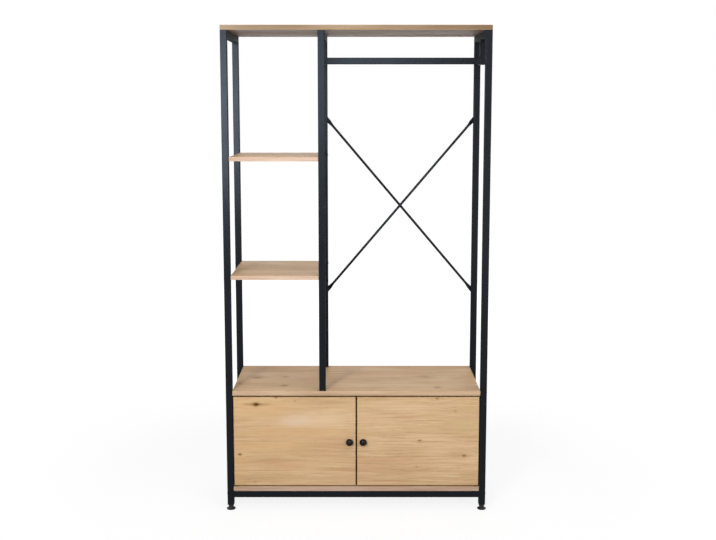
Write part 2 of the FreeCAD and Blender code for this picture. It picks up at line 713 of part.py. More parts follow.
# Pivot pins and their flanged bushes
pin_length = f"({named('pin_in_door')} + {named('door_gap')} + {named('pin_in_bush')})"
pin = doc.addObject("Part::Cylinder", "pivot_pin")
pin.setExpression("Radius", f"{named('pin_diameter')} / 2")
pin.setExpression("Height", pin_length)
lower_pin_z = f"({cabinet_floor} - {named('pin_in_bush')})"
upper_pin_z = f"({cabinet_ceiling} + {named('pin_in_bush')})"
for side, hand in (("left", "-"), ("right", "")):
    pin_spots = [
        (f"{hand}{pivot_x}", pivot_y, lower_pin_z, UPRIGHT),
        (f"{hand}{pivot_x}", pivot_y, upper_pin_z, INVERTED),
    ]
    copies(f"{side}_door_pins", pin, pin_spots)

bush = new_body("pivot_bush")
bush_bore = f"({named('pin_diameter')} / 2 + {named('pin_clearance')})"
flange_height = f"({named('door_gap')} - {named('door_float')})"
bush_section = new_sketch(bush, "Y")
outline(bush_section, [
    (bush_bore, f"-{named('bush_length')}"),
    (f"{named('bush_diameter')} / 2", f"-{named('bush_length')}"),
    (f"{named('bush_diameter')} / 2", 0),
    (f"{named('bush_flange')} / 2", 0),
    (f"{named('bush_flange')} / 2", flange_height),
    (bush_bore, flange_height),
])
revolve(bush, bush_section)
bush_spots = []
for bush_x in (f"-{pivot_x}", pivot_x):
    bush_spots.append((bush_x, pivot_y, cabinet_floor, UPRIGHT))
    bush_spots.append((bush_x, pivot_y, cabinet_ceiling, INVERTED))
copies("door_pivot_bushes", bush, bush_spots)


# Mushroom knobs, turned about their own axis, and their screws from inside the door
def turned_knob():
    body = new_body("knob_master")
    half_section = new_sketch(body, "Y")
    base_radius = f"{named('knob_base')} / 2"
    neck_radius = f"{named('knob_neck')} / 2"
    cap_radius = f"{named('knob_diameter')} / 2"
    thread_radius = f"{knob_screw_hole} / 2"
    crown_height = named("knob_crown")
    crown_radius = f"(({cap_radius}) ^ 2 + {crown_height} ^ 2) / (2 * {crown_height})"
    outline(half_section, [
        (thread_radius, 0),
        (base_radius, 0),
        (base_radius, named("knob_base_height")),
        (neck_radius, knob_neck_start),
        (neck_radius, knob_neck_end, named("knob_underside_radius")),
        (cap_radius, knob_rim, crown_radius),
        (0, knob_projection),
        (0, named("knob_thread_depth")),
        (thread_radius, named("knob_thread_depth")),
    ])
    blank = revolve(body, half_section)
    rim = [
        f"Edge{index}" for index, edge in enumerate(blank.Shape.Edges, start=1)
        if edge.isClosed() and abs(edge.firstVertex().Point.x - value(cap_radius)) < SAME_PLACE
    ]
    round_edges(body, blank, rim, named("knob_rim_round"))
    return body


knob = turned_knob()


def headed_fastener(name, diameter, length, head_diameter, head_height):
    """Fastener along +Z, its head below the plane that it seats on."""
    body = new_body(name)
    half_section = new_sketch(body, "Y")
    crown = f"{head_diameter} / 2 - {named('head_bevel')}"
    outline(half_section, [
        (0, f"-{head_height}"),
        (crown, f"-{head_height}"),
        (f"{head_diameter} / 2", f"-{named('head_rim')}"),
        (f"{head_diameter} / 2", 0),
        (f"{diameter} / 2", 0),
        (f"{diameter} / 2", length),
        (0, length),
    ])
    revolve(body, half_section)
    return body


knob_screw_length = f"({named('door_thickness')} + {named('knob_screw_bite')})"
knob_screw = headed_fastener(
    "knob_screw_master", named("knob_screw_diameter"), knob_screw_length,
    named("screw_head"), named("screw_head_height"))
for side, hand in (("left", "-"), ("right", "")):
    copies(f"{side}_knob", knob, [(f"{hand}{knob_x}", board_front, knob_z, ALONG_MINUS_Y)])
    copies(f"{side}_knob_screw", knob_screw, [(f"{hand}{knob_x}", door_rear, knob_z, ALONG_MINUS_Y)])

# Magnetic catches, screwed up under the cabinet top
catch_width = named("catch_width")
catch_height = named("catch_height")
ear_bottom = f"({catch_height} - {named('catch_ear')})"
ear_width = f"(({catch_width} - {named('catch_block')}) / 2)"
block_right = f"({ear_width} + {named('catch_block')})"
magnet_left = f"(({catch_width} - {named('magnet_width')}) / 2)"
catch_screw_hole = around(named("catch_screw_diameter"))
catch_screw_spots = [
    (across, f"({named('catch_depth')} / 2)")
    for across in (f"({ear_width} / 2)", f"({catch_width} - {ear_width} / 2)")
]


def catch_housing():
    """Block with an ear at each side and a pocket for the magnet in its front."""
    body = new_body("catch_master")
    front_view = new_sketch(body, "Y")
    outline(front_view, [
        (0, ear_bottom),
        (ear_width, ear_bottom),
        (ear_width, 0),
        (block_right, 0),
        (block_right, ear_bottom),
        (catch_width, ear_bottom),
        (catch_width, catch_height),
        (0, catch_height),
    ])
    blank = pad(body, front_view, "Y", named("catch_depth"))
    round_edges(body, blank, corner_edges(blank, "Z"), named("catch_corner"))
    seat = named("hole_clearance")
    left = f"{magnet_left} - {seat}"
    right = f"{magnet_left} + {named('magnet_width')} + {seat}"
    lower = f"{named('magnet_base')} - {seat}"
    upper = f"{named('magnet_base')} + {named('magnet_height')} + {seat}"
    opening = new_sketch(body, "Y")
    outline(opening, [(left, lower), (right, lower), (right, upper), (left, upper)])
    pocket(body, opening, "Y", named("magnet_depth"))
    drill(body, "Z", catch_screw_spots, catch_screw_hole)
    return body


def catch_magnet():
    """Magnet between two pole plates, whose front edges stand ahead of it."""
    body = new_body("magnet_master")
    side_view = new_sketch(body, "X")
    depth = named("magnet_depth")
    height = named("magnet_height")
    plate = named("pole_thickness")
    lip = named("pole_lip")
    outline(side_view, [
        (0, 0),
        (depth, 0),
        (depth, height),
        (0, height),
        (0, f"{height} - {plate}"),
        (lip, f"{height} - {plate}"),
        (lip, plate),
        (0, plate),
    ])
    pad(body, side_view, "X", named("magnet_width"))
    return body


catch = catch_housing()
magnet = catch_magnet()
catch_screw_length = f"({named('catch_ear')} + {named('catch_screw_bite')})"
catch_screw = headed_fastener(
    "catch_screw_master", named("catch_screw_diameter"), catch_screw_length,
    named("catch_screw_head"), named("screw_head_height"))
catch_y = f"({door_rear} + {named('strike_thickness')} + {named('catch_gap')})"
catch_z = f"({cabinet_ceiling} - {catch_height})"
left_catch_x = f"(-{named('catch_inset')} - {catch_width})"
catch_columns = (left_catch_x, named("catch_inset"))
copies("door_catches", catch, [(x, catch_y, catch_z, UPRIGHT) for x in catch_columns])
copies("catch_magnets", magnet, [
    (f"{x} + {magnet_left}", catch_y, f"{catch_z} + {named('magnet_base')}", UPRIGHT) for x in catch_columns
])
catch_screws = [
    (f"({x} + {across})", f"({catch_y} + {deep})")
    for x in catch_columns
    for across, deep in catch_screw_spots
]
copies("catch_screws", catch_screw, [(x, y, f"{catch_z} + {ear_bottom}", UPRIGHT) for x, y in catch_screws])
catch_holes = [(f"{x} + {inner_half}", f"{y} - {board_front}") for x, y in catch_screws]
catch_hole_depth = f"({named('catch_screw_bite')} + {named('hole_clearance')})"
drill(cabinet_top, "Z", catch_holes, catch_screw_hole, catch_hole_depth)


# Strike plates, each held in its door by a pin of its own
def strike_plate(label, x):
    body = new_body(label)
    face = new_sketch(body, "Y")
    rectangle(face, catch_width, named("strike_height"))
    plate = pad(body, face, "Y", named("strike_thickness"))
    round_edges(body, plate, corner_edges(plate, "Y"), named("strike_corner"))
    stem = new_sketch(body, "Y")
    circles(stem, [(f"{catch_width} / 2", f"{named('strike_height')} / 2")], named("strike_pin"))
    pad(body, stem, "Y", named("strike_pin_length"), backwards=True)
    place(body, x, door_rear, f"{door_bottom} + {door_height} - {named('strike_height')}")
    return node(body, label)


for side, strike_x in zip(("left", "right"), catch_columns):
    strike_plate(f"{side}_strike_plate", strike_x)


# Levelling feet: a sloped disc with a neck, on a stud that turns in the leg plug
def levelling_foot():
    body = new_body("foot_master")
    half_section = new_sketch(body, "Y")
    disc_radius = f"{named('foot_diameter')} / 2"
    neck_radius = f"{named('foot_neck')} / 2"
    stud_socket = f"({named('stud_diameter')} / 2 + {named('hole_clearance')})"
    outline(half_section, [
        (0, 0),
        (f"{disc_radius} - {named('foot_chamfer')}", 0),
        (disc_radius, named("foot_chamfer")),
        (disc_radius, f"{named('foot_rim')} - {named('foot_chamfer')}"),
        (f"{disc_radius} - {named('foot_chamfer')}", named("foot_rim")),
        (neck_radius, foot_shoulder),
        (neck_radius, foot_height),
        (stud_socket, foot_height),
        (stud_socket, named("stud_seat")),
        (0, named("stud_seat")),
    ])
    revolve(body, half_section)
    return body


foot = levelling_foot()
stud = doc.addObject("Part::Cylinder", "stud_master")
stud.setExpression("Radius", f"{named('stud_diameter')} / 2")
stud.setExpression("Height", f"{leg_end} + {named('plug_length')} - {named('stud_seat')}")
leg_centres = {
    "left_front": (f"-{leg_middle_x}", front_leg_middle),
    "left_rear": (f"-{leg_middle_x}", rear_leg_middle),
    "right_front": (leg_middle_x, front_leg_middle),
    "right_rear": (leg_middle_x, rear_leg_middle),
}
for corner_name, (foot_x, foot_y) in leg_centres.items():
    copies(f"{corner_name}_foot", foot, [(foot_x, foot_y, 0, UPRIGHT)])
    copies(f"{corner_name}_stud", stud, [(foot_x, foot_y, named("stud_seat"), UPRIGHT)])


# Plugs in the tube ends
plug_size = f"({tube} - 2 * {named('tube_wall')} - 2 * {named('plug_clearance')})"
plug_corner = f"-{plug_size} / 2"


def square_plug(name, length):
    """Square insert standing on its own origin, centred on it."""
    body = new_body(name)
    sketch = new_sketch(body, "Z")
    half = f"{plug_size} / 2"
    outline(sketch, [(plug_corner, plug_corner), (half, plug_corner), (half, half), (plug_corner, half)])
    pad(body, sketch, "Z", length)
    return body


def leg_plug():
    """Square insert with a tapered collar below the leg's end, bored for the stud and the foot's neck."""
    insert = square_plug("leg_insert", named("plug_length"))
    collar = doc.addObject("Part::Cone", "leg_collar")
    collar.setExpression("Radius1", f"{named('collar_bottom')} / 2")
    collar.setExpression("Radius2", f"{named('collar_top')} / 2")
    collar.setExpression("Height", collar_height)
    place(collar, 0, 0, f"-{collar_height}")
    solid = doc.addObject("Part::Fuse", "leg_plug_solid")
    solid.Base = insert
    solid.Tool = collar
    bore = doc.addObject("Part::Cylinder", "leg_plug_bore")
    bore.setExpression("Radius", f"{named('stud_diameter')} / 2 + {named('hole_clearance')}")
    bore.setExpression("Height", f"{collar_height} + {named('plug_length')}")
    place(bore, 0, 0, f"-{collar_height}")
    bored = doc.addObject("Part::Cut", "bored_leg_plug")
    bored.Base = solid
    bored.Tool = bore
    recess = doc.addObject("Part::Cylinder", "foot_neck_recess")
    recess.setExpression("Radius", f"{around(named('foot_neck'))} / 2")
    recess.setExpression("Height", f"{named('foot_in_collar')} + {named('foot_travel')}")
    place(recess, 0, 0, f"-{collar_height}")
    hollowed = doc.addObject("Part::Cut", "leg_plug_master")
    hollowed.Base = bored
    hollowed.Tool = recess
    doc.recompute()
    return hollowed


leg_plug_master = leg_plug()
leg_plug_spots = [(x, y, leg_end, UPRIGHT) for x, y in leg_centres.values()]
copies("leg_plugs", leg_plug_master, leg_plug_spots)

threaded_plug = square_plug("threaded_plug_master", named("plug_length"))
plug_bore = doc.addObject("Part::Cylinder", "threaded_plug_bore")
plug_bore.setExpression("Radius", f"{bolt_hole} / 2")
plug_bore.setExpression("Height", named("plug_length"))
bored_plug = doc.addObject("Part::Cut", "bored_plug")
bored_plug.Base = threaded_plug
bored_plug.Tool = plug_bore
doc.recompute()
base_rail_lines = (front_leg_middle, rear_leg_middle)
plug_spots = [(x, y, cabinet_top_face, UPRIGHT) for x, y in divider_feet]
plug_spots += [(f"-{inner_half}", y, base_rail_middle_z, ALONG_PLUS_X) for y in base_rail_lines]
plug_spots += [(inner_half, y, base_rail_middle_z, ALONG_MINUS_X) for y in base_rail_lines]
plug_spots.append((divider_right, frame_middle, rail_middle_z, ALONG_PLUS_X))
plug_spots.append((inner_half, frame_middle, rail_middle_z, ALONG_MINUS_X))
copies("threaded_plugs", bored_plug, plug_spots)

cap_insert = square_plug("cap_insert", named("cap_insert"))
cap_plate = doc.addObject("Part::Box", "cap_plate")
cap_plate.setExpression("Length", tube)
cap_plate.setExpression("Width", tube)
cap_plate.setExpression("Height", named("cap_thickness"))
place(cap_plate, f"-{tube} / 2", f"-{tube} / 2", f"-{named('cap_thickness')}")
strut_cap = doc.addObject("Part::Fuse", "strut_cap_master")
strut_cap.Base = cap_insert
strut_cap.Tool = cap_plate
doc.recompute()
strut_cap_spots = [(x, frame_middle, rail_bottom, UPRIGHT) for x in (divider_middle_x, leg_middle_x)]
copies("strut_caps", strut_cap, strut_cap_spots)

# Fasteners
divider_bolt = headed_fastener(
    "divider_bolt_master", named("bolt_diameter"), f"({panel} - {bolt_seat} + {named('bolt_bite')})",
    named("bolt_head"), named("bolt_head_height"))
divider_bolt_z = f"({cabinet_ceiling} + {bolt_seat})"
copies("divider_bolts", divider_bolt, [(x, y, divider_bolt_z, UPRIGHT) for x, y in divider_feet])

frame_bolt = headed_fastener(
    "frame_bolt_master", named("bolt_diameter"), f"({tube} + {named('bolt_bite')})",
    named("bolt_head"), named("bolt_head_height"))
bolt_spots = [(f"-{half_width}", y, base_rail_middle_z, ALONG_PLUS_X) for y in base_rail_lines]
bolt_spots += [(half_width, y, base_rail_middle_z, ALONG_MINUS_X) for y in base_rail_lines]
bolt_spots.append((divider_left, frame_middle, rail_middle_z, ALONG_PLUS_X))
bolt_spots.append((half_width, frame_middle, rail_middle_z, ALONG_MINUS_X))
copies("frame_bolts", frame_bolt, bolt_spots)

tube_screw_length = f"({tube} + {named('screw_bite')})"
tube_screw = headed_fastener(
    "tube_screw_master", named("screw_diameter"), tube_screw_length,
    named("screw_head"), named("screw_head_height"))
shelf_screw_spots = []
for level in shelf_levels:
    shelf_screw_spots += [(f"-{half_width}", y, level, ALONG_PLUS_X) for y in base_rail_lines]
    shelf_screw_spots += [(divider_right, y, level, ALONG_MINUS_X) for _, y in divider_feet]
copies("shelf_screws", tube_screw, shelf_screw_spots)
cabinet_screw_spots = [(f"-{half_width}", y, cabinet_top_level, ALONG_PLUS_X) for y in base_rail_lines]
cabinet_screw_spots += [(half_width, y, cabinet_top_level, ALONG_MINUS_X) for y in base_rail_lines]
copies("cabinet_top_screws", tube_screw, cabinet_screw_spots)

panel_screw = headed_fastener(
    "panel_screw_master", named("screw_diameter"), f"({tube} + {panel_bite})",
    named("screw_head"), named("screw_head_height"))
copies("cabinet_bottom_screws", panel_screw, [(x, y, base_rail_bottom, UPRIGHT) for x, y in floor_screws])
copies("top_panel_screws", panel_screw, [(x, y, top_rail_bottom, UPRIGHT) for x, y in panel_screws])

brace_screw = headed_fastener(
    "brace_screw_master", named("screw_diameter"),
    f"({named('brace_tab_thickness')} + {named('brace_screw_bite')})",
    named("screw_head"), named("screw_head_height"))
tab_face = f"({rear} + {named('brace_tab_thickness')})"
brace_screw_spots = [
    (x, tab_face, level, ALONG_MINUS_Y)
    for x in (divider_middle_x, leg_middle_x)
    for level in brace_levels
]
copies("brace_screws", brace_screw, brace_screw_spots)

dowel = doc.addObject("Part::Cylinder", "dowel_master")
dowel.setExpression("Radius", f"{named('dowel_diameter')} / 2")
dowel.setExpression("Height", f"{dowel_in_panel} + {named('dowel_in_side')}")
lower_dowel_z = f"({cabinet_floor} - {dowel_in_panel})"
upper_dowel_z = f"({cabinet_ceiling} - {named('dowel_in_side')})"
dowels = [(x, y, level, UPRIGHT) for level in (lower_dowel_z, upper_dowel_z) for x, y in dowel_spots]
copies("side_panel_dowels", dowel, dowels)

# Check every object, then write one file for each piece
doc.recompute()
for item in doc.Objects:
    if "Invalid" in item.State or "Error" in item.State:
        raise RuntimeError(f"{item.Label} is in state {item.State}")
for item in nodes:
    if item.Shape.isNull() or not item.Shape.isValid():
        raise RuntimeError(f"{item.Label} has no valid shape")

os.makedirs("parts", exist_ok=True)
for item in nodes:
    item.Shape.exportStep(f"parts/{item.Label}.step")
    print(f"{item.Label}: {len(item.Shape.Solids)} solids, {item.Shape.Volume / 1000:.1f} cm3")
print(f"{len(nodes)} pieces")
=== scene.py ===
import json
import math

import bmesh
import bpy
from mathutils import Matrix, Vector


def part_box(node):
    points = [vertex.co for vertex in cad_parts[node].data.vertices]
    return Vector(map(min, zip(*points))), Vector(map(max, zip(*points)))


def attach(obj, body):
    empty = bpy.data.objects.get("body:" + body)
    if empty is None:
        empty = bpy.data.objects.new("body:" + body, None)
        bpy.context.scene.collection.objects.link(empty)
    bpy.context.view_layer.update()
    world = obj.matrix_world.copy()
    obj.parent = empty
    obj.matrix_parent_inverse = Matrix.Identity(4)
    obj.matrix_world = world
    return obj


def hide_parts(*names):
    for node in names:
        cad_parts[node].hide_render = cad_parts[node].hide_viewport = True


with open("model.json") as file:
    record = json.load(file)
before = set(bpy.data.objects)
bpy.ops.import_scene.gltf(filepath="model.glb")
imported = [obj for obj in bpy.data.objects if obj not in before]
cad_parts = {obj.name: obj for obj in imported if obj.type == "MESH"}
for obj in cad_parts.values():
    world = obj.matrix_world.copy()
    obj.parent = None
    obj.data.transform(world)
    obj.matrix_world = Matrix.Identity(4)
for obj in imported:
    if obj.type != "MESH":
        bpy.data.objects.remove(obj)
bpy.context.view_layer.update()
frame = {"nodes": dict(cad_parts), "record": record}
nodes = frame["nodes"]
scene = bpy.context.scene
mm = 0.001
noiseSpan = (0.3, 0.7)          # most values of a noise lie between these
weld = 0.001 * mm               # points this near are one point
print("frame loaded:", len(nodes), "nodes")


# Small helpers for node trees

def put(tree, kind, inputs=None, **settings):
    node = tree.nodes.new(kind)
    for name, setting in settings.items():
        setattr(node, name, setting)
    for name, given in (inputs or {}).items():
        if isinstance(given, bpy.types.NodeSocket):
            tree.links.new(given, node.inputs[name])
        else:
            node.inputs[name].default_value = given
    return node


def calc(tree, operation, first, second=0.0):
    return put(tree, "ShaderNodeMath", {0: first, 1: second}, operation=operation).outputs[0]


def vectorCalc(tree, operation, first, second):
    return put(tree, "ShaderNodeVectorMath", {0: first, 1: second}, operation=operation).outputs[0]


def stretched(tree, place, scale):
    return vectorCalc(tree, "MULTIPLY", place, scale)


def spread(tree, given, fromLow, fromHigh, toLow, toHigh):
    return put(tree, "ShaderNodeMapRange", {
        "Value": given, "From Min": fromLow, "From Max": fromHigh, "To Min": toLow, "To Max": toHigh,
    }).outputs["Result"]


def mixColour(tree, factor, first, second):
    sockets = {0: factor, 6: first, 7: second}      # the colour sockets of a Mix node
    return put(tree, "ShaderNodeMix", sockets, data_type="RGBA").outputs[2]


def noise(tree, place, scale, detail=2.0, roughness=0.5):
    return put(tree, "ShaderNodeTexNoise", {
        "Vector": place, "Scale": scale, "Detail": detail, "Roughness": roughness,
    }).outputs["Fac"]


def newGroup(name, kind, inputs, outputs):
    tree = bpy.data.node_groups.new(name, kind)
    for label, socketType, default in inputs:
        socket = tree.interface.new_socket(name=label, in_out="INPUT", socket_type=socketType)
        if default is not None:
            socket.default_value = default
    for label, socketType in outputs:
        tree.interface.new_socket(name=label, in_out="OUTPUT", socket_type=socketType)
    return tree, tree.nodes.new("NodeGroupInput").outputs, tree.nodes.new("NodeGroupOutput").inputs


def useGroup(tree, group, inputs):
    return put(tree, "ShaderNodeGroup", inputs, node_tree=group).outputs


def newMaterial(name, sockets=None):
    material = bpy.data.materials.new(name)
    material.use_nodes = True
    tree = material.node_tree
    tree.nodes.clear()
    shader = put(tree, "ShaderNodeBsdfPrincipled", sockets)
    put(tree, "ShaderNodeOutputMaterial", {"Surface": shader.outputs["BSDF"]})
    place = put(tree, "ShaderNodeTexCoord").outputs["Object"]
    return material, tree, shader, place


def bumped(tree, shader, height, strength, distance):
    bump = put(tree, "ShaderNodeBump", {"Height": height, "Strength": strength, "Distance": distance})
    tree.links.new(bump.outputs["Normal"], shader.inputs["Normal"])


# Oak figure, by noise stretched along the grain

figureMake = {
    "drift": (1.2, 4.5, 4.5),           # slow wander of the growth lines
    "depthShare": 0.8,                  # the lines cross depth a little slower than height
    "lively": (1.8, 9.0, 9.0),          # where the lines show
    "livelyRange": (0.42, 0.62),
    "lineShare": (0.12, 0.50),
    "streaks": (5.5, 170.0, 170.0),
    "streakShare": 0.55,
    "streakHeight": 0.4,
    "broad": (2.2, 8.0, 8.0),           # wide lighter and darker bands
    "broadShare": 0.45,
    "paleToTan": (0.375, 0.495),        # tones where one colour gives way to the next
    "tanToDeep": (0.50, 0.635),
    "blush": (4.0, 17.0, 17.0),
    "blushRange": (0.50, 0.68),
    "blushMost": 0.55,
    "pores": (26.0, 760.0, 760.0),
    "poreRange": (0.54, 0.70),
    "poreColour": (0.20, 0.11, 0.05, 1.0),
}


def buildOakFigure():
    tree, given, result = newGroup("oakFigure", "ShaderNodeTree", [
        ("Place", "NodeSocketVector", None),      # X runs along the grain
        ("Pale", "NodeSocketColor", None),
        ("Tan", "NodeSocketColor", None),
        ("Deep", "NodeSocketColor", None),
        ("Rosy", "NodeSocketColor", None),
        ("Waviness", "NodeSocketFloat", 0.03),
        ("Line Density", "NodeSocketFloat", 60.0),
        ("Pores", "NodeSocketFloat", 0.3),
    ], [("Colour", "NodeSocketColor"), ("Tone", "NodeSocketFloat"), ("Height", "NodeSocketFloat")])
    make, place = figureMake, given["Place"]

    def grained(spot, scale, detail=2.0, roughness=0.5):
        return noise(tree, stretched(tree, spot, scale), 1.0, detail, roughness)

    sway = calc(tree, "SUBTRACT", grained(place, make["drift"]), 0.5)
    sway = calc(tree, "MULTIPLY", sway, given["Waviness"])
    parts = put(tree, "ShaderNodeSeparateXYZ", {"Vector": place}).outputs
    across = calc(tree, "ADD", calc(tree, "MULTIPLY", parts["Y"], make["depthShare"]), parts["Z"])
    ring = calc(tree, "MULTIPLY", calc(tree, "ADD", across, sway), given["Line Density"])
    lines = put(tree, "ShaderNodeTexNoise", {
        "W": ring, "Scale": 1.0, "Detail": 3.0, "Roughness": 0.6,
    }, noise_dimensions="1D").outputs["Fac"]
    aside = put(tree, "ShaderNodeCombineXYZ", {"Z": sway}).outputs[0]
    streaks = grained(vectorCalc(tree, "ADD", place, aside), make["streaks"], 4.0, 0.6)
    broad = grained(place, make["broad"], 3.0)
    share = spread(tree, grained(place, make["lively"]), *make["livelyRange"], *make["lineShare"])
    tone = calc(tree, "MULTIPLY", calc(tree, "SUBTRACT", lines, 0.5), share)
    tone = calc(tree, "ADD", tone, calc(tree, "MULTIPLY", streaks, make["streakShare"]))
    tone = calc(tree, "ADD", tone, calc(tree, "MULTIPLY", broad, make["broadShare"]))
    wood = mixColour(tree, spread(tree, tone, *make["paleToTan"], 0.0, 1.0), given["Pale"], given["Tan"])
    wood = mixColour(tree, spread(tree, tone, *make["tanToDeep"], 0.0, 1.0), wood, given["Deep"])
    blush = spread(tree, grained(place, make["blush"]), *make["blushRange"], 0.0, make["blushMost"])
    wood = mixColour(tree, blush, wood, given["Rosy"])
    dashes = grained(place, make["pores"], 3.0, 0.6)
    pore = calc(tree, "MULTIPLY", spread(tree, dashes, *make["poreRange"], 0.0, 1.0), given["Pores"])
    wood = mixColour(tree, pore, wood, make["poreColour"])
    height = calc(tree, "SUBTRACT", calc(tree, "MULTIPLY", streaks, make["streakHeight"]), pore)
    tree.links.new(wood, result["Colour"])
    tree.links.new(tone, result["Tone"])
    tree.links.new(height, result["Height"])
    return tree


# Knots: reach of each zone along and across the grain, as a share of the knot's own

knotMake = {
    "ragged": (60.0, 160.0, 160.0),     # noise that breaks the outlines
    "raggedBy": 0.35,
    "parted": (1.0, 0.45),              # grain lines part round the eye
    "partedBy": 0.75,
    "eye": (0.26, 0.14),
    "tail": (0.75, 0.10),
    "halo": (0.70, 0.30),
    "haloShare": 0.8,
}


def buildKnotEye():
    tree, given, result = newGroup("knotEye", "ShaderNodeTree", [
        ("Place", "NodeSocketVector", None),
        ("Mark So Far", "NodeSocketFloat", 0.0),
        ("Halo So Far", "NodeSocketFloat", 0.0),
        ("Centre", "NodeSocketVector", None),
        ("Reach", "NodeSocketFloat", 0.05),       # half length of the disturbed grain
        ("Core", "NodeSocketFloat", 1.0),         # darkness of the eye
        ("Tail", "NodeSocketFloat", 0.5),         # darkness of the streak along the grain
    ], [("Place", "NodeSocketVector"), ("Mark", "NodeSocketFloat"), ("Halo", "NodeSocketFloat")])
    ragged = noise(tree, stretched(tree, given["Place"], knotMake["ragged"]), 1.0, 3.0)
    ragged = spread(tree, ragged, *noiseSpan, -knotMake["raggedBy"], knotMake["raggedBy"])
    away = vectorCalc(tree, "SUBTRACT", given["Place"], given["Centre"])
    parts = put(tree, "ShaderNodeSeparateXYZ", {"Vector": away}).outputs

    def bell(along, across):
        terms = []
        for axis, share in (("X", along), ("Y", across), ("Z", across)):
            unit = calc(tree, "DIVIDE", parts[axis], calc(tree, "MULTIPLY", given["Reach"], share))
            terms.append(calc(tree, "MULTIPLY", unit, unit))
        total = calc(tree, "ADD", calc(tree, "ADD", terms[0], terms[1]), terms[2])
        total = calc(tree, "MULTIPLY", total, calc(tree, "ADD", ragged, 1.0))
        return calc(tree, "EXPONENT", calc(tree, "MULTIPLY", total, -1.0))

    opened = calc(tree, "MULTIPLY", bell(*knotMake["parted"]), knotMake["partedBy"])
    shift = put(tree, "ShaderNodeVectorMath", {0: away, 3: opened}, operation="SCALE").outputs[0]
    moved = vectorCalc(tree, "SUBTRACT", given["Place"], stretched(tree, shift, (0.0, 1.0, 1.0)))
    eye = calc(tree, "MULTIPLY", bell(*knotMake["eye"]), given["Core"])
    tail = calc(tree, "MULTIPLY", bell(*knotMake["tail"]), given["Tail"])
    mark = calc(tree, "MAXIMUM", calc(tree, "MAXIMUM", eye, tail), given["Mark So Far"])
    glow = calc(tree, "MULTIPLY", given["Core"], knotMake["haloShare"])
    halo = calc(tree, "MULTIPLY", bell(*knotMake["halo"]), glow)
    tree.links.new(moved, result["Place"])
    tree.links.new(mark, result["Mark"])
    tree.links.new(calc(tree, "MAXIMUM", halo, given["Halo So Far"]), result["Halo"])
    return tree


def buildSoftPatch():
    tree, given, result = newGroup("softPatch", "ShaderNodeTree", [
        ("Place", "NodeSocketVector", None),
        ("Ragged", "NodeSocketFloat", 1.0),       # breaks the outline along the grain
        ("Ground", "NodeSocketColor", None),
        ("Centre", "NodeSocketVector", None),
        ("Half Length", "NodeSocketFloat", 0.06),
        ("Half Width", "NodeSocketFloat", 0.02),
        ("Tint", "NodeSocketColor", None),
        ("Strength", "NodeSocketFloat", 0.5),
    ], [("Colour", "NodeSocketColor")])
    away = vectorCalc(tree, "SUBTRACT", given["Place"], given["Centre"])
    parts = put(tree, "ShaderNodeSeparateXYZ", {"Vector": away}).outputs
    total = 0.0
    for axis, size in (("X", "Half Length"), ("Y", "Half Width"), ("Z", "Half Width")):
        unit = calc(tree, "DIVIDE", parts[axis], given[size])
        total = calc(tree, "ADD", calc(tree, "MULTIPLY", unit, unit), total)
    total = calc(tree, "MULTIPLY", total, given["Ragged"])
    fade = calc(tree, "EXPONENT", calc(tree, "MULTIPLY", total, -1.0))
    cover = calc(tree, "MULTIPLY", fade, given["Strength"])
    tree.links.new(mixColour(tree, cover, given["Ground"], given["Tint"]), result["Colour"])
    return tree


def buildFineGrit():
    tree, given, result = newGroup("fineGrit", "ShaderNodeTree", [
        ("Place", "NodeSocketVector", None),
        ("Grit Scale", "NodeSocketFloat", 1600.0),
        ("Patch Scale", "NodeSocketFloat", 9.0),
        ("Low", "NodeSocketFloat", 0.4),
        ("High", "NodeSocketFloat", 0.55),
    ], [("Height", "NodeSocketFloat"), ("Patch", "NodeSocketFloat"), ("Sheen", "NodeSocketFloat")])
    patch = noise(tree, given["Place"], given["Patch Scale"], 4.0, 0.6)
    tree.links.new(noise(tree, given["Place"], given["Grit Scale"], 3.0, 0.6), result["Height"])
    tree.links.new(patch, result["Patch"])
    tree.links.new(spread(tree, patch, *noiseSpan, given["Low"], given["High"]), result["Sheen"])
    return tree


oakFigure = buildOakFigure()
knotEye = buildKnotEye()
softPatch = buildSoftPatch()
fineGrit = buildFineGrit()


# Woods: the pale, tan, deep and rosy tone of each, and how its figure runs

woodTones = {
    "face": ((0.690, 0.475, 0.278), (0.605, 0.395, 0.216), (0.475, 0.290, 0.142), (0.600, 0.362, 0.216)),
    "band": ((0.630, 0.440, 0.285), (0.550, 0.370, 0.230), (0.450, 0.290, 0.165), (0.540, 0.340, 0.220)),
    # painted light: a paler copy of the oak band for the shelves' front edges
    "litShelfBand": ((0.730, 0.535, 0.405), (0.670, 0.470, 0.345), (0.560, 0.370, 0.255), (0.660, 0.445, 0.335)),
    # painted shade: a darker, greyer copy of the oak band for the top panel's front edge
    "topShadeBand": ((0.335, 0.232, 0.148), (0.280, 0.186, 0.110), (0.210, 0.128, 0.068), (0.280, 0.175, 0.106)),
    # painted shade: a darker, pinker copy of the oak band for the bottom panel's front edge
    "lowShadeBand": ((0.560, 0.390, 0.290), (0.485, 0.325, 0.235), (0.390, 0.245, 0.160), (0.490, 0.305, 0.215)),
    # painted shade: the doors' edge band is a dark brown copy of the oak band, for the shade in the gaps
    # round the doors
    "gapShadeBand": ((0.265, 0.148, 0.062), (0.210, 0.113, 0.044), (0.150, 0.077, 0.027), (0.210, 0.107, 0.045)),
    "backing": ((0.430, 0.295, 0.222), (0.390, 0.264, 0.197), (0.320, 0.210, 0.150), (0.390, 0.255, 0.190)),
    "beech": ((0.62, 0.44, 0.28), (0.55, 0.37, 0.22), (0.46, 0.29, 0.16), (0.56, 0.36, 0.24)),
}
faceGrain = {"Waviness": 0.045, "Line Density": 130.0, "Pores": 0.32}
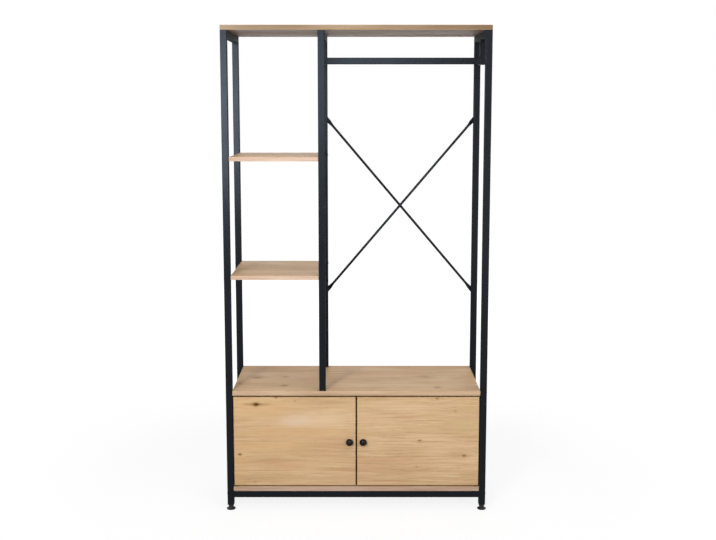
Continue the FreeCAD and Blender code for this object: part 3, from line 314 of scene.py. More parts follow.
backingGrain = {"Waviness": 0.020, "Line Density": 130.0, "Pores": 0.25}
bandGrain = {"Waviness": 0.012, "Line Density": 90.0, "Pores": 0.16}
paleGrain = {"Waviness": 0.012, "Line Density": 90.0, "Pores": 0.12}
beechGrain = {"Waviness": 0.01, "Line Density": 240.0, "Pores": 0.3}
oakEye = (0.070, 0.020, 0.004, 1.0)
oakEyeRim = (0.340, 0.175, 0.060, 1.0)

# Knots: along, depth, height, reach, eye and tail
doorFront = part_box("left_door")[0].y
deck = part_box("cabinet_top")[1].z
oakKnots = [
    (-0.384, doorFront, 0.421, 0.060, 1.0, 0.60),
    (-0.450, doorFront, 0.222, 0.036, 0.75, 0.12),
    (-0.309, doorFront, 0.446, 0.034, 0.6, 0.2),
    (-0.235, doorFront, 0.434, 0.026, 0.35, 0.1),
    (-0.392, doorFront, 0.112, 0.030, 0.4, 0.15),
    (0.244, doorFront, 0.277, 0.032, 0.6, 0.1),
    (0.416, doorFront, 0.217, 0.040, 0.65, 0.3),
    (0.310, doorFront, 0.444, 0.034, 0.6, 0.25),
    (0.380, doorFront, 0.394, 0.028, 0.4, 0.1),
    (0.234, doorFront, 0.173, 0.030, 0.4, 0.1),
    (-0.400, 0.010, deck, 0.085, 0.60, 0.25),
    (-0.285, 0.020, deck, 0.060, 0.50, 0.20),
    (-0.280, -0.110, deck, 0.065, 0.60, 0.25),
    (-0.460, -0.080, deck, 0.045, 0.50, 0.10),
    (0.280, 0.020, deck, 0.090, 0.25, 0.25),
    (0.314, -0.138, deck, 0.050, 0.60, 0.20),
]

# Soft changes of colour on the oak, in the decor except the painted sheen on the left door: tint, along,
# depth, height, half length, half width, strength
oakTints = {
    "orange": (0.620, 0.365, 0.170, 1.0),
    "cream": (0.710, 0.505, 0.310, 1.0),
    "chalk": (0.720, 0.565, 0.425, 1.0),
    "brown": (0.430, 0.255, 0.120, 1.0),
    "rosy": (0.600, 0.345, 0.210, 1.0),
    "olive": (0.560, 0.390, 0.190, 1.0),
    # used only for painted shade
    "paintedShade": (0.160, 0.100, 0.052, 1.0),
}
oakPatches = [
    ("orange", -0.280, doorFront, 0.270, 0.240, 0.200, 0.25),
    ("orange", -0.375, doorFront, 0.411, 0.120, 0.040, 0.50),
    # painted sheen: a paler, whiter area across the upper middle of the left door
    ("chalk", -0.219, doorFront, 0.353, 0.080, 0.024, 0.55),
    ("cream", -0.096, doorFront, 0.368, 0.095, 0.032, 0.55),
    ("brown", -0.338, doorFront, 0.201, 0.075, 0.011, 0.45),
    ("orange", -0.455, doorFront, 0.190, 0.032, 0.080, 0.40),
    ("brown", -0.250, doorFront, 0.125, 0.200, 0.010, 0.35),
    ("orange", -0.200, doorFront, 0.318, 0.180, 0.018, 0.50),
    ("orange", -0.360, doorFront, 0.255, 0.140, 0.014, 0.45),
    ("brown", -0.150, doorFront, 0.432, 0.160, 0.008, 0.30),
    ("rosy", 0.085, doorFront, 0.203, 0.070, 0.006, 0.95),
    ("rosy", 0.058, doorFront, 0.361, 0.055, 0.015, 0.40),
    ("rosy", 0.190, doorFront, 0.370, 0.045, 0.014, 0.35),
    ("cream", 0.180, doorFront, 0.410, 0.110, 0.022, 0.45),
    ("olive", 0.409, doorFront, 0.333, 0.065, 0.036, 0.45),
    ("brown", 0.387, doorFront, 0.220, 0.055, 0.013, 0.40),
    ("chalk", 0.375, doorFront, 0.135, 0.035, 0.011, 0.20),
    ("brown", -0.396, 0.020, deck, 0.026, 0.017, 0.80),
    ("brown", -0.285, -0.110, deck, 0.018, 0.012, 0.70),
    ("brown", -0.460, -0.080, deck, 0.010, 0.014, 0.60),
    ("brown", 0.276, 0.020, deck, 0.030, 0.012, 0.55),
    ("brown", 0.410, 0.000, deck, 0.022, 0.010, 0.45),
    ("brown", 0.314, -0.138, deck, 0.014, 0.012, 0.70),
    ("brown", 0.050, 0.000, deck, 0.120, 0.010, 0.30),
    ("brown", 0.330, -0.055, deck, 0.120, 0.012, 0.35),
    ("rosy", -0.250, 0.030, deck, 0.090, 0.013, 0.60),
    ("rosy", -0.190, -0.040, deck, 0.050, 0.017, 0.60),
    ("rosy", 0.150, 0.070, deck, 0.160, 0.013, 0.55),
    ("rosy", 0.000, 0.200, deck, 0.500, 0.014, 0.60),
    ("cream", 0.120, -0.100, deck, 0.200, 0.020, 0.45),
    ("cream", -0.340, -0.030, deck, 0.100, 0.016, 0.35),
]
topLow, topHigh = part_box("top_panel")
topEdge = (topLow.z + topHigh.z) / 2
# painted light and shade along the top panel's front edge: paler at the left end and in the middle where the
# light falls, darker towards the right end away from it
topEdgeLightAndShade = [
    ("chalk", -0.500, topLow.y, topEdge, 0.075, 0.050, 0.22),
    ("cream", -0.030, topLow.y, topEdge, 0.160, 0.050, 0.22),
    ("paintedShade", 0.520, topLow.y, topEdge, 0.220, 0.050, 0.65),
]
woodLook = {
    "oakSpecular": 0.05,
    "patchRagged": (9.0, 70.0, 70.0),   # noise that breaks the outlines of the patches
    "raggedRange": (0.4, 1.6),
    "haloShare": 0.5,                   # how far the halo of a knot turns pale
    "rimRange": (0.0, 0.6),             # marks of a knot, from its rim to its eye
    "rimMost": 0.9,
    "eyeRange": (0.4, 1.0),
    "toneRange": (0.35, 0.65),
    "oakRoughness": (0.52, 0.66),
    "beechRoughness": (0.55, 0.7),
    "bump": 0.20,
    "bumpDepth": 0.2 * mm,
}


def woodFigure(tree, place, tones, grain):
    pale, tan, deep, rosy = [(*tone, 1.0) for tone in woodTones[tones]]
    figure = useGroup(tree, oakFigure, {
        "Place": place, "Pale": pale, "Tan": tan, "Deep": deep, "Rosy": rosy, **grain,
    })
    return figure, pale


def woodSurface(tree, shader, figure, colour, roughness):
    tree.links.new(colour, shader.inputs["Base Color"])
    dullness = spread(tree, figure["Tone"], *woodLook["toneRange"], *roughness)
    tree.links.new(dullness, shader.inputs["Roughness"])
    bumped(tree, shader, figure["Height"], woodLook["bump"], woodLook["bumpDepth"])


def oakMaterial(name, tones, grain, knots=(), patches=(), turn=None):
    material, tree, shader, place = newMaterial(name, {"Specular IOR Level": woodLook["oakSpecular"]})
    mark, halo = 0.0, 0.0
    for along, depth, height, reach, core, tail in knots:
        eye = useGroup(tree, knotEye, {
            "Place": place, "Mark So Far": mark, "Halo So Far": halo, "Centre": (along, depth, height),
            "Reach": reach, "Core": core, "Tail": tail,
        })
        place, mark, halo = eye["Place"], eye["Mark"], eye["Halo"]
    grainPlace = place
    if turn:
        grainPlace = put(tree, "ShaderNodeMapping", {"Vector": place, "Rotation": turn}).outputs["Vector"]
    figure, pale = woodFigure(tree, grainPlace, tones, grain)
    colour = figure["Colour"]
    if patches:
        ragged = noise(tree, stretched(tree, place, woodLook["patchRagged"]), 1.0, 3.0)
        ragged = spread(tree, ragged, *noiseSpan, *woodLook["raggedRange"])
    for tint, along, depth, height, halfLength, halfWidth, strength in patches:
        colour = useGroup(tree, softPatch, {
            "Place": place, "Ragged": ragged, "Ground": colour, "Centre": (along, depth, height),
            "Half Length": halfLength, "Half Width": halfWidth, "Tint": oakTints[tint], "Strength": strength,
        })["Colour"]
    if knots:
        rim = spread(tree, mark, *woodLook["rimRange"], 0.0, woodLook["rimMost"])
        colour = mixColour(tree, calc(tree, "MULTIPLY", halo, woodLook["haloShare"]), colour, pale)
        colour = mixColour(tree, rim, colour, oakEyeRim)
        colour = mixColour(tree, spread(tree, mark, *woodLook["eyeRange"], 0.0, 1.0), colour, oakEye)
    woodSurface(tree, shader, figure, colour, woodLook["oakRoughness"])
    return material


def beechMaterial():
    material, tree, shader, place = newMaterial("beech")
    figure = woodFigure(tree, place, "beech", beechGrain)[0]
    woodSurface(tree, shader, figure, figure["Colour"], woodLook["beechRoughness"])
    return material


uprightTurn = (0.0, math.radians(90.0), 0.0)
oakFace = oakMaterial("oakFace", "face", faceGrain, oakKnots, oakPatches)
oakUpright = oakMaterial("oakUpright", "face", faceGrain, turn=uprightTurn)
oakBacking = oakMaterial("oakBacking", "backing", backingGrain)    # undersides
oakBand = oakMaterial("oakBand", "band", bandGrain)
oakBandUpright = oakMaterial("oakBandUpright", "band", bandGrain, turn=uprightTurn)
# the shelves' edge band, a paler copy in painted light
oakLitShelfBand = oakMaterial("oakLitShelfBand", "litShelfBand", paleGrain)
# the top panel's edge band, a darker copy in painted shade, with painted light and shade along it
oakTopShadeBand = oakMaterial("oakTopShadeBand", "topShadeBand", bandGrain, patches=topEdgeLightAndShade)
# the bottom panel's edge band, a darker, pinker copy in painted shade
oakLowShadeBand = oakMaterial("oakLowShadeBand", "lowShadeBand", bandGrain)
# the doors' edge band, painted dark for the shade in the gaps round the doors
oakGapShadeBand = oakMaterial("oakGapShadeBand", "gapShadeBand", bandGrain)
print("oak decor ready")


# Coats, plastics, metals and hardboard: two shades under a fine grit

finishMake = {
    "frameCoat": {
        "dark": (0.0025, 0.0028, 0.0040, 1.0), "light": (0.0045, 0.0050, 0.0068, 1.0),
        "grit": 1500.0, "patch": 6.0, "roughness": (0.20, 0.27), "bump": 0.12, "bumpDepth": 0.12 * mm,
        "sockets": {"Specular IOR Level": 0.15, "Specular Tint": (0.80, 0.88, 1.0, 1.0)},
        "dulledFacing": (0.15, 0.55),   # seen edge-on, the grain of the powder breaks up what it mirrors
        "dulledRoughness": (0.0, 0.85),
    },
    "footPlastic": {
        "dark": (0.010, 0.010, 0.011, 1.0), "light": (0.018, 0.018, 0.019, 1.0),
        "grit": 2600.0, "patch": 40.0, "roughness": (0.45, 0.57), "bump": 0.12, "bumpDepth": 0.08 * mm,
        "sockets": {"Specular IOR Level": 0.22},
    },
    "nylon": {
        "dark": (0.040, 0.026, 0.015, 1.0), "light": (0.060, 0.042, 0.026, 1.0),
        "grit": 2600.0, "patch": 40.0, "roughness": (0.42, 0.54), "bump": 0.12, "bumpDepth": 0.08 * mm,
        "sockets": {"Specular IOR Level": 0.22},
    },
    "knobEnamel": {
        "dark": (0.0020, 0.0019, 0.0020, 1.0), "light": (0.0050, 0.0046, 0.0048, 1.0),
        "grit": 420.0, "patch": 60.0, "roughness": (0.05, 0.09), "bump": 0.02, "bumpDepth": 0.05 * mm,
        "sockets": {"Specular IOR Level": 0.11, "Coat Roughness": 0.03, "Coat IOR": 1.25},
        "coatWeight": (0.1, 0.2),
    },
    "zincPlate": {
        "dark": (0.48, 0.49, 0.51, 1.0), "light": (0.66, 0.66, 0.65, 1.0),
        "grit": 900.0, "patch": 160.0, "roughness": (0.24, 0.40), "bump": 0.08, "bumpDepth": 0.05 * mm,
        "sockets": {"Metallic": 1.0},
    },
    "blackSteel": {
        "dark": (0.030, 0.030, 0.032, 1.0), "light": (0.060, 0.060, 0.062, 1.0),
        "grit": 900.0, "patch": 160.0, "roughness": (0.34, 0.50), "bump": 0.08, "bumpDepth": 0.05 * mm,
        "sockets": {"Metallic": 1.0},
    },
    "hardboard": {
        "dark": (0.330, 0.205, 0.110, 1.0), "light": (0.430, 0.285, 0.165, 1.0),
        "grit": 240.0, "patch": 14.0, "roughness": (0.62, 0.78), "bump": 0.25, "bumpDepth": 0.2 * mm,
        "sockets": {"Specular IOR Level": 0.25},
        "fibres": (420.0, 420.0, 90.0), "fibreRange": (0.45, 0.68), "fibreMost": 0.55,
        "fibreColour": (0.200, 0.115, 0.055, 1.0),
    },
}


def finishMaterial(name):
    make = finishMake[name]
    material, tree, shader, place = newMaterial(name, make["sockets"])
    low, high = make["roughness"]
    grit = useGroup(tree, fineGrit, {
        "Place": place, "Grit Scale": make["grit"], "Patch Scale": make["patch"], "Low": low, "High": high,
    })
    colour = mixColour(tree, grit["Patch"], make["dark"], make["light"])
    roughness, height = grit["Sheen"], grit["Height"]
    if "dulledFacing" in make:
        facing = put(tree, "ShaderNodeLayerWeight", {"Blend": 0.5}).outputs["Facing"]
        dulled = spread(tree, facing, *make["dulledFacing"], *make["dulledRoughness"])
        roughness = calc(tree, "MAXIMUM", roughness, dulled)
    if "coatWeight" in make:
        weight = spread(tree, grit["Patch"], *noiseSpan, *make["coatWeight"])
        tree.links.new(weight, shader.inputs["Coat Weight"])
    if "fibres" in make:
        height = noise(tree, stretched(tree, place, make["fibres"]), 1.0, 4.0, 0.7)
        cover = spread(tree, height, *make["fibreRange"], 0.0, make["fibreMost"])
        colour = mixColour(tree, cover, colour, make["fibreColour"])
    tree.links.new(colour, shader.inputs["Base Color"])
    tree.links.new(roughness, shader.inputs["Roughness"])
    bumped(tree, shader, height, make["bump"], make["bumpDepth"])
    return material


finishes = {name: finishMaterial(name) for name in finishMake}
slotFinish = {
    "frame_coat": finishes["frameCoat"],
    "oak_board": oakFace,
    "hardboard": finishes["hardboard"],
    "black_steel": finishes["blackSteel"],
    "bright_steel": finishes["zincPlate"],
    "black_plastic": finishes["footPlastic"],
    "nylon": finishes["nylon"],
    "knob_black": finishes["knobEnamel"],
    "beech": beechMaterial(),
}
slotOf = {row["node"]: row["material_slot"] for row in frame["record"]["subparts"]}
bodyOf = {}
for body, members in frame["record"]["behaviour"]["bodies"].items():
    for node in members:
        bodyOf[node] = body


def finishOf(node):
    return slotFinish[slotOf[node]]


for node, piece in nodes.items():
    piece.data.materials.clear()
    piece.data.materials.append(finishOf(node))
print("finishes ready on", len(nodes), "nodes")


# Pieces

def linkMesh(name, mesh, *materials):
    piece = bpy.data.objects.new(name, mesh)
    scene.collection.objects.link(piece)
    for material in materials:
        mesh.materials.append(material)
    return piece


def standFor(piece, node):
    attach(piece, bodyOf[node])
    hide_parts(node)


def smoothed(mesh, angle):
    for face in mesh.polygons:
        face.use_smooth = True
    mesh.set_sharp_from_angle(angle=math.radians(angle))


def settle(piece):
    evaluated = piece.evaluated_get(bpy.context.evaluated_depsgraph_get())
    shape = bpy.data.meshes.new_from_object(evaluated)
    piece.modifiers.clear()
    piece.data = shape


# Boards: a core between edge bands, with eased edges

boardMake = {
    "arris": 0.8 * mm,          # rounding of every edge
    "arrisSteps": 3,
    "band": 1.2 * mm,           # thickness of the edge band
    "doorBand": 2.0 * mm,
    "glueLine": 0.25 * mm,      # width of the step between band and face
    "step": 0.08 * mm,
}
# the thin axis of each board, its faces and its edge band
boardNodes = {
    # the top panel's edge band in painted shade
    "top_panel": (2, oakFace, oakTopShadeBand),
    # shelf edges in painted light
    "upper_shelf": (2, oakFace, oakLitShelfBand),
    "lower_shelf": (2, oakFace, oakLitShelfBand),
    "cabinet_top": (2, oakFace, oakBand),
    # the bottom panel's edge in painted shade
    "cabinet_bottom": (2, oakFace, oakLowShadeBand),
    "cabinet_left_side": (0, oakUpright, oakBandUpright),
    "cabinet_right_side": (0, oakUpright, oakBandUpright),
    # door edges in painted shade, for the gaps round the doors
    "left_door": (1, oakFace, oakGapShadeBand),
    "right_door": (1, oakFace, oakGapShadeBand),
}


def makeBoard(node, thinAxis, faceFinish, bandFinish):
    band = boardMake["doorBand"] if node.endswith("door") else boardMake["band"]
    low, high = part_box(node)
    middle, extent = (low + high) / 2, high - low
    shape = bmesh.new()
    place = Matrix.Translation(middle) @ Matrix.Diagonal(extent.to_4d())
    bmesh.ops.create_cube(shape, size=1.0, matrix=place)
    for face in shape.faces:
        face.material_index = 1
    broad = [face for face in shape.faces if abs(face.normal[thinAxis]) > 0.9]
    bmesh.ops.inset_individual(shape, faces=broad, thickness=band)
    bmesh.ops.inset_individual(shape, faces=broad, thickness=boardMake["glueLine"], depth=-boardMake["step"])
    for face in broad:
        face.material_index = 2 if thinAxis == 2 and face.normal.z < 0.0 else 0
    arrises = [edge for edge in shape.edges if edge.calc_face_angle(0.0) > math.radians(80.0)]
    bmesh.ops.bevel(
        shape, geom=arrises, offset=boardMake["arris"], segments=boardMake["arrisSteps"],
        profile=0.5, affect="EDGES")
    mesh = bpy.data.meshes.new(node + "_board")
    shape.to_mesh(mesh)
    shape.free()
    return linkMesh(node + "_board", mesh, faceFinish, bandFinish, oakBacking)


boards = {}
for node, (thinAxis, faceFinish, bandFinish) in boardNodes.items():
    boards[node] = makeBoard(node, thinAxis, faceFinish, bandFinish)
print("boards made:", len(boards))


# Turned pieces: knobs and feet

turnedMake = {"smoothAngle": 38.0}


def arc(centre, radius, fromAngle, toAngle, count):
    turns = [math.radians(fromAngle + (toAngle - fromAngle) * step / count) for step in range(count + 1)]
    return [(centre[0] + radius * math.cos(turn), centre[1] + radius * math.sin(turn)) for turn in turns]


def quarterTurns(count):
    return [math.radians(90.0 * step / count) for step in range(1, count + 1)]


def turned(name, profile, steps, place, finish):
    shape = bmesh.new()
    points = [shape.verts.new((radius, 0.0, height)) for radius, height in profile]
    chain = [shape.edges.new(pair) for pair in zip(points, points[1:])]
    bmesh.ops.spin(
        shape, geom=points + chain, axis=(0.0, 0.0, 1.0), cent=(0.0, 0.0, 0.0), steps=steps, angle=math.tau)
    bmesh.ops.remove_doubles(shape, verts=shape.verts[:], dist=weld)
    bmesh.ops.dissolve_degenerate(shape, edges=shape.edges[:], dist=weld)
    bmesh.ops.recalc_face_normals(shape, faces=shape.faces[:])
    shape.transform(place)
    mesh = bpy.data.meshes.new(name)
    shape.to_mesh(mesh)
    shape.free()
    smoothed(mesh, turnedMake["smoothAngle"])
    return linkMesh(name, mesh, finish)


knobMake = {
    "baseRadius": 8.5 * mm,
    "baseHeight": 2.2 * mm,
    "baseRound": 0.7 * mm,
    "neckRadius": 5.5 * mm,
    "neckHeight": 7.0 * mm,
    "rimRadius": 1.6 * mm,
    "rimHeight": 14.0 * mm,
    "steps": 72,
}


def knobProfile(projection, capRadius):
    base, rim = knobMake["baseRadius"], knobMake["rimRadius"]
    neck, neckHeight = knobMake["neckRadius"], knobMake["neckHeight"]
    rimHeight, easing = knobMake["rimHeight"], knobMake["baseRound"]
    profile = [(0.0, 0.0), (base, 0.0)]
    profile += arc((base - easing, knobMake["baseHeight"] - easing), easing, 0.0, 90.0, 5)
    # hollow from the base up to the neck, then out under the cap
    profile += arc((base - easing, neckHeight), base - easing - neck, 250.0, 180.0, 8)
    flare, under = capRadius - rim - neck, rimHeight - rim - neckHeight
    for turn in quarterTurns(10):
        profile.append((neck + flare * (1.0 - math.cos(turn)), neckHeight + under * math.sin(turn)))
    profile += arc((capRadius - rim, rimHeight), rim, -80.0, 35.0, 8)
    # crown: a sphere's cap that starts where the rim ends
    startRadius, startHeight = profile[-1]
    crown = projection - startHeight
    sphere = (startRadius ** 2 + crown ** 2) / (2.0 * crown)
    edge = math.degrees(math.asin(startRadius / sphere))
    profile += arc((0.0, projection - sphere), sphere, 90.0 - edge, 90.0, 16)[1:]
    return profile


for side in ("left", "right"):
    node = f"{side}_knob"
    low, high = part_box(node)
    middle = (low + high) / 2
    seat = Matrix.Translation((middle.x, high.y, middle.z)) @ Matrix.Rotation(math.radians(90.0), 4, "X")
    profile = knobProfile(high.y - low.y, (high.x - low.x) / 2)
    standFor(turned(f"{side}_turned_knob", profile, knobMake["steps"], seat, finishOf(node)), node)

footMake = {
    "edgeRound": 1.2 * mm,
    "rimHeight": 4.5 * mm,
    "shoulderHeight": 8.0 * mm,
    "neckRadius": 9.0 * mm,
    "boreRadius": 4.15 * mm,
    "groove": 0.5 * mm,         # moulded ring at the foot of the slope
    "steps": 64,
}


def footProfile(height, radius):
    easing, rim = footMake["edgeRound"], footMake["rimHeight"]
    neck, shoulder = footMake["neckRadius"], footMake["shoulderHeight"]
    groove, bore = footMake["groove"], footMake["boreRadius"]
    profile = [(0.0, 0.0)]
    profile += arc((radius - easing, easing), easing, -90.0, 0.0, 6)
    profile += arc((radius - easing, rim - easing), easing, 0.0, 90.0, 6)
    ring = radius - 2.0 * easing
    profile += [(ring, rim), (ring - groove, rim - groove), (ring - 2.0 * groove, rim)]
    # hollow slope up to the neck
    run, rise = ring - 2.0 * groove - neck, shoulder - rim
    for turn in quarterTurns(8):
        profile.append((neck + run * (1.0 - math.sin(turn)), rim + rise * (1.0 - math.cos(turn))))
    profile += arc((neck - easing / 2, height - easing / 2), easing / 2, 0.0, 90.0, 4)
    profile += [(bore, height), (bore, height - easing), (0.0, height - easing)]
    return profile


corners = [f"{side}_{end}" for side in ("left", "right") for end in ("front", "rear")]
for corner in corners:
    node = f"{corner}_foot"
    low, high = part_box(node)
    middle = (low + high) / 2
    seat = Matrix.Translation((middle.x, middle.y, low.z))
    profile = footProfile(high.z - low.z, (high.x - low.x) / 2)
    standFor(turned(f"{corner}_moulded_foot", profile, footMake["steps"], seat, finishOf(node)), node)
print("knobs and feet turned")


# Screws, bolts and threads, by geometry nodes

def geometryGroup(name, inputs):
    return newGroup(name, "GeometryNodeTree", inputs, [("Result", "NodeSocketGeometry")])


def lifted(tree, shape, height):
    offset = put(tree, "ShaderNodeCombineXYZ", {"Z": height}).outputs[0]
    return put(tree, "GeometryNodeTransform", {"Geometry": shape, "Translation": offset}).outputs[0]


def seatCopies(tree, given, result, shapes, turn):
    # one copy of the joined shapes on every seat, made real and finished
    whole = put(tree, "GeometryNodeJoinGeometry")
    for shape in shapes:
        tree.links.new(shape, whole.inputs[0])
    placed = put(tree, "GeometryNodeInstanceOnPoints", {
        "Points": given["Seats"], "Instance": whole.outputs[0], **turn,
    }).outputs[0]
    real = put(tree, "GeometryNodeRealizeInstances", {"Geometry": placed}).outputs[0]
    done = put(tree, "GeometryNodeSetMaterial", {"Geometry": real, "Material": given["Finish"]}).outputs[0]
    tree.links.new(done, result["Result"])


def runNodes(piece, tree, values):
    modifier = piece.modifiers.new(tree.name, "NODES")
    modifier.node_group = tree
    for item in tree.interface.items_tree:
        if item.in_out == "INPUT" and item.name in values:
            modifier[item.identifier] = values[item.name]
    settle(piece)


screwMake = {
    "headSides": 32,
    "headRings": 6,
    "crown": 0.86,              # how far the head is drawn in towards its crown
    "shankSides": 20,
    "driveShare": 0.5,          # drive radius as a share of the head radius
    "driveDepthShare": 0.62,    # drive depth as a share of the head height
    "smoothAngle": 30.0,
    "headEdge": 0.98,           # share of the widest radius that still counts as the head
    "shankFrom": 0.4,           # share of the length, from the middle, where only shank is left
}


def buildDomeScrew():
    tree, given, result = geometryGroup("domeScrew", [
        ("Seats", "NodeSocketGeometry", None),
        ("Head Radius", "NodeSocketFloat", 4.5 * mm),
        ("Head Height", "NodeSocketFloat", 2.5 * mm),
        ("Shank Radius", "NodeSocketFloat", 2.5 * mm),
        ("Shank Length", "NodeSocketFloat", 30.0 * mm),
        ("Drive Radius", "NodeSocketFloat", 2.0 * mm),
        ("Drive Depth", "NodeSocketFloat", 1.5 * mm),
        ("Finish", "NodeSocketMaterial", None),
    ])
    tall = given["Head Height"]
    # head: a cylinder drawn in towards its crown, below the seat
    blank = put(tree, "GeometryNodeMeshCylinder", {
        "Vertices": screwMake["headSides"], "Side Segments": screwMake["headRings"], "Fill Segments": 2,
        "Radius": given["Head Radius"], "Depth": tall,
    }).outputs["Mesh"]
    blank = lifted(tree, blank, calc(tree, "MULTIPLY", tall, -0.5))
    spot = put(tree, "GeometryNodeInputPosition").outputs[0]
    rise = calc(tree, "DIVIDE", put(tree, "ShaderNodeSeparateXYZ", {0: spot}).outputs["Z"], tall)
    rise = calc(tree, "MULTIPLY", rise, screwMake["crown"])
    keep = calc(tree, "SQRT", calc(tree, "SUBTRACT", 1.0, calc(tree, "MULTIPLY", rise, rise)))
    scale = put(tree, "ShaderNodeCombineXYZ", {"X": keep, "Y": keep, "Z": 1.0}).outputs[0]
    drawn = vectorCalc(tree, "MULTIPLY", spot, scale)
    head = put(tree, "GeometryNodeSetPosition", {"Geometry": blank, "Position": drawn}).outputs[0]
    # six-sided drive sunk into the crown
    keyLength = calc(tree, "MULTIPLY", given["Drive Depth"], 2.0)
    key = put(tree, "GeometryNodeMeshCylinder", {
        "Vertices": 6, "Radius": given["Drive Radius"], "Depth": keyLength,
    }).outputs["Mesh"]
    key = lifted(tree, key, calc(tree, "MULTIPLY", tall, -1.0))
    cut = put(tree, "GeometryNodeMeshBoolean", operation="DIFFERENCE", solver="EXACT")
    tree.links.new(head, cut.inputs[0])
    tree.links.new(key, cut.inputs[1])
    shank = put(tree, "GeometryNodeMeshCylinder", {
        "Vertices": screwMake["shankSides"], "Radius": given["Shank Radius"], "Depth": given["Shank Length"],
    }).outputs["Mesh"]
    shank = lifted(tree, shank, calc(tree, "MULTIPLY", given["Shank Length"], 0.5))
    aim = put(tree, "GeometryNodeInputNamedAttribute", {"Name": "aim"}, data_type="FLOAT_VECTOR").outputs[0]
    facing = put(tree, "FunctionNodeAlignRotationToVector", {"Vector": aim}, axis="Z").outputs[0]
    seatCopies(tree, given, result, (shank, cut.outputs[0]), {"Rotation": facing})
    return tree


def loosePieces(node):
    shape = bmesh.new()
    shape.from_mesh(nodes[node].data)
    bmesh.ops.remove_doubles(shape, verts=shape.verts[:], dist=weld)
    waiting = set(shape.verts)
    groups = []
    while waiting:
        stack = [waiting.pop()]
        found = []
        while stack:
            vert = stack.pop()
            found.append(vert.co.copy())
            for edge in vert.link_edges:
                other = edge.other_vert(vert)
                if other in waiting:
                    waiting.discard(other)
                    stack.append(other)
        groups.append(found)
    shape.free()
    return groups


def fastenerSeats(node):
    # each loose piece is a shank with a wider head at one end
    seats = []
    for points in loosePieces(node):
        low = Vector([min(point[axis] for point in points) for axis in range(3)])
        high = Vector([max(point[axis] for point in points) for axis in range(3)])
        extent, middle = high - low, (low + high) / 2
        run = max(range(3), key=lambda axis: extent[axis])
        wide = []               # distance from the axis and place along it
        for point in points:
            away = point - middle
            along = away[run]
            away[run] = 0.0
            wide.append((away.length, along))
        headRadius = max(radius for radius, along in wide)
        headSide = [along for radius, along in wide if radius > screwMake["headEdge"] * headRadius]
        towards = -1.0 if sum(headSide) > 0.0 else 1.0
        seatAlong = max(headSide) if towards > 0.0 else min(headSide)
        shankFrom = screwMake["shankFrom"] * extent[run]
        shankEnd = [radius for radius, along in wide if along * towards > shankFrom]
        headTop = min(along * towards for radius, along in wide)
        seat = middle.copy()
        seat[run] += seatAlong
        aim = Vector((0.0, 0.0, 0.0))
        aim[run] = towards
        seats.append({
            "seat": seat, "aim": aim, "headRadius": headRadius, "headHeight": seatAlong * towards - headTop,
            "shankRadius": max(shankEnd), "shankLength": extent[run] / 2 - seatAlong * towards,
        })
    seats.sort(key=lambda found: tuple(round(part, 4) for part in found["seat"]))
    return seats


def seatMesh(name, seats):
    mesh = bpy.data.meshes.new(name)
    mesh.from_pydata([found["seat"] for found in seats], [], [])
    aims = mesh.attributes.new("aim", "FLOAT_VECTOR", "POINT")
    for index, found in enumerate(seats):
        aims.data[index].vector = found["aim"]
    return mesh


domeScrew = buildDomeScrew()
fastenerNodes = (
    "frame_bolts", "divider_bolts", "shelf_screws", "cabinet_top_screws", "cabinet_bottom_screws",
    "top_panel_screws", "brace_screws", "catch_screws", "left_knob_screw", "right_knob_screw",
)
for node in fastenerNodes:
    seats = fastenerSeats(node)
    piece = linkMesh(f"{node}_set", seatMesh(f"{node}_set", seats), finishOf(node))
    first = seats[0]
    runNodes(piece, domeScrew, {
        "Head Radius": first["headRadius"], "Head Height": first["headHeight"],
        "Shank Radius": first["shankRadius"], "Shank Length": first["shankLength"],
        "Drive Radius": first["headRadius"] * screwMake["driveShare"],
        "Drive Depth": first["headHeight"] * screwMake["driveDepthShare"], "Finish": finishOf(node),
    })
    smoothed(piece.data, screwMake["smoothAngle"])
    standFor(piece, node)
    print(f"{node}: {len(seats)} set")


studMake = {
    "pitch": 1.25 * mm,
    "threadDepth": 0.7 * mm,
    "crestShare": 0.66,         # half the ridge, as a share of the thread depth
    "bareEnd": 0.75,            # pitches without thread at each end
    "coreSides": 40,
    "turnSteps": 32,
}


def buildThreadedStud():
    tree, given, result = geometryGroup("threadedStud", [
        ("Seats", "NodeSocketGeometry", None),
        ("Radius", "NodeSocketFloat", 4.0 * mm),
        ("Length", "NodeSocketFloat", 38.0 * mm),
        ("Pitch", "NodeSocketFloat", 1.25 * mm),
        ("Thread Depth", "NodeSocketFloat", 0.7 * mm),
        ("Finish", "NodeSocketMaterial", None),
    ])
    core = calc(tree, "SUBTRACT", given["Radius"], given["Thread Depth"])
    shaft = put(tree, "GeometryNodeMeshCylinder", {
        "Vertices": studMake["coreSides"], "Radius": core, "Depth": given["Length"],
    }).outputs["Mesh"]
    shaft = lifted(tree, shaft, calc(tree, "MULTIPLY", given["Length"], 0.5))
    crest = calc(tree, "MULTIPLY", given["Thread Depth"], studMake["crestShare"])
    middle = calc(tree, "SUBTRACT", given["Radius"], crest)
    bare = calc(tree, "MULTIPLY", given["Pitch"], studMake["bareEnd"])
    climb = calc(tree, "SUBTRACT", given["Length"], calc(tree, "MULTIPLY", bare, 2.0))
    helix = put(tree, "GeometryNodeCurveSpiral", {
        "Resolution": studMake["turnSteps"], "Rotations": calc(tree, "DIVIDE", climb, given["Pitch"]),
        "Start Radius": middle, "End Radius": middle, "Height": climb,
    }).outputs[0]
    ridge = put(tree, "GeometryNodeCurvePrimitiveCircle", {"Resolution": 4, "Radius": crest}).outputs[0]
    thread = put(tree, "GeometryNodeCurveToMesh", {
        "Curve": lifted(tree, helix, bare), "Profile Curve": ridge, "Fill Caps": True,
    }).outputs[0]
    seatCopies(tree, given, result, (shaft, thread), {})
    return tree


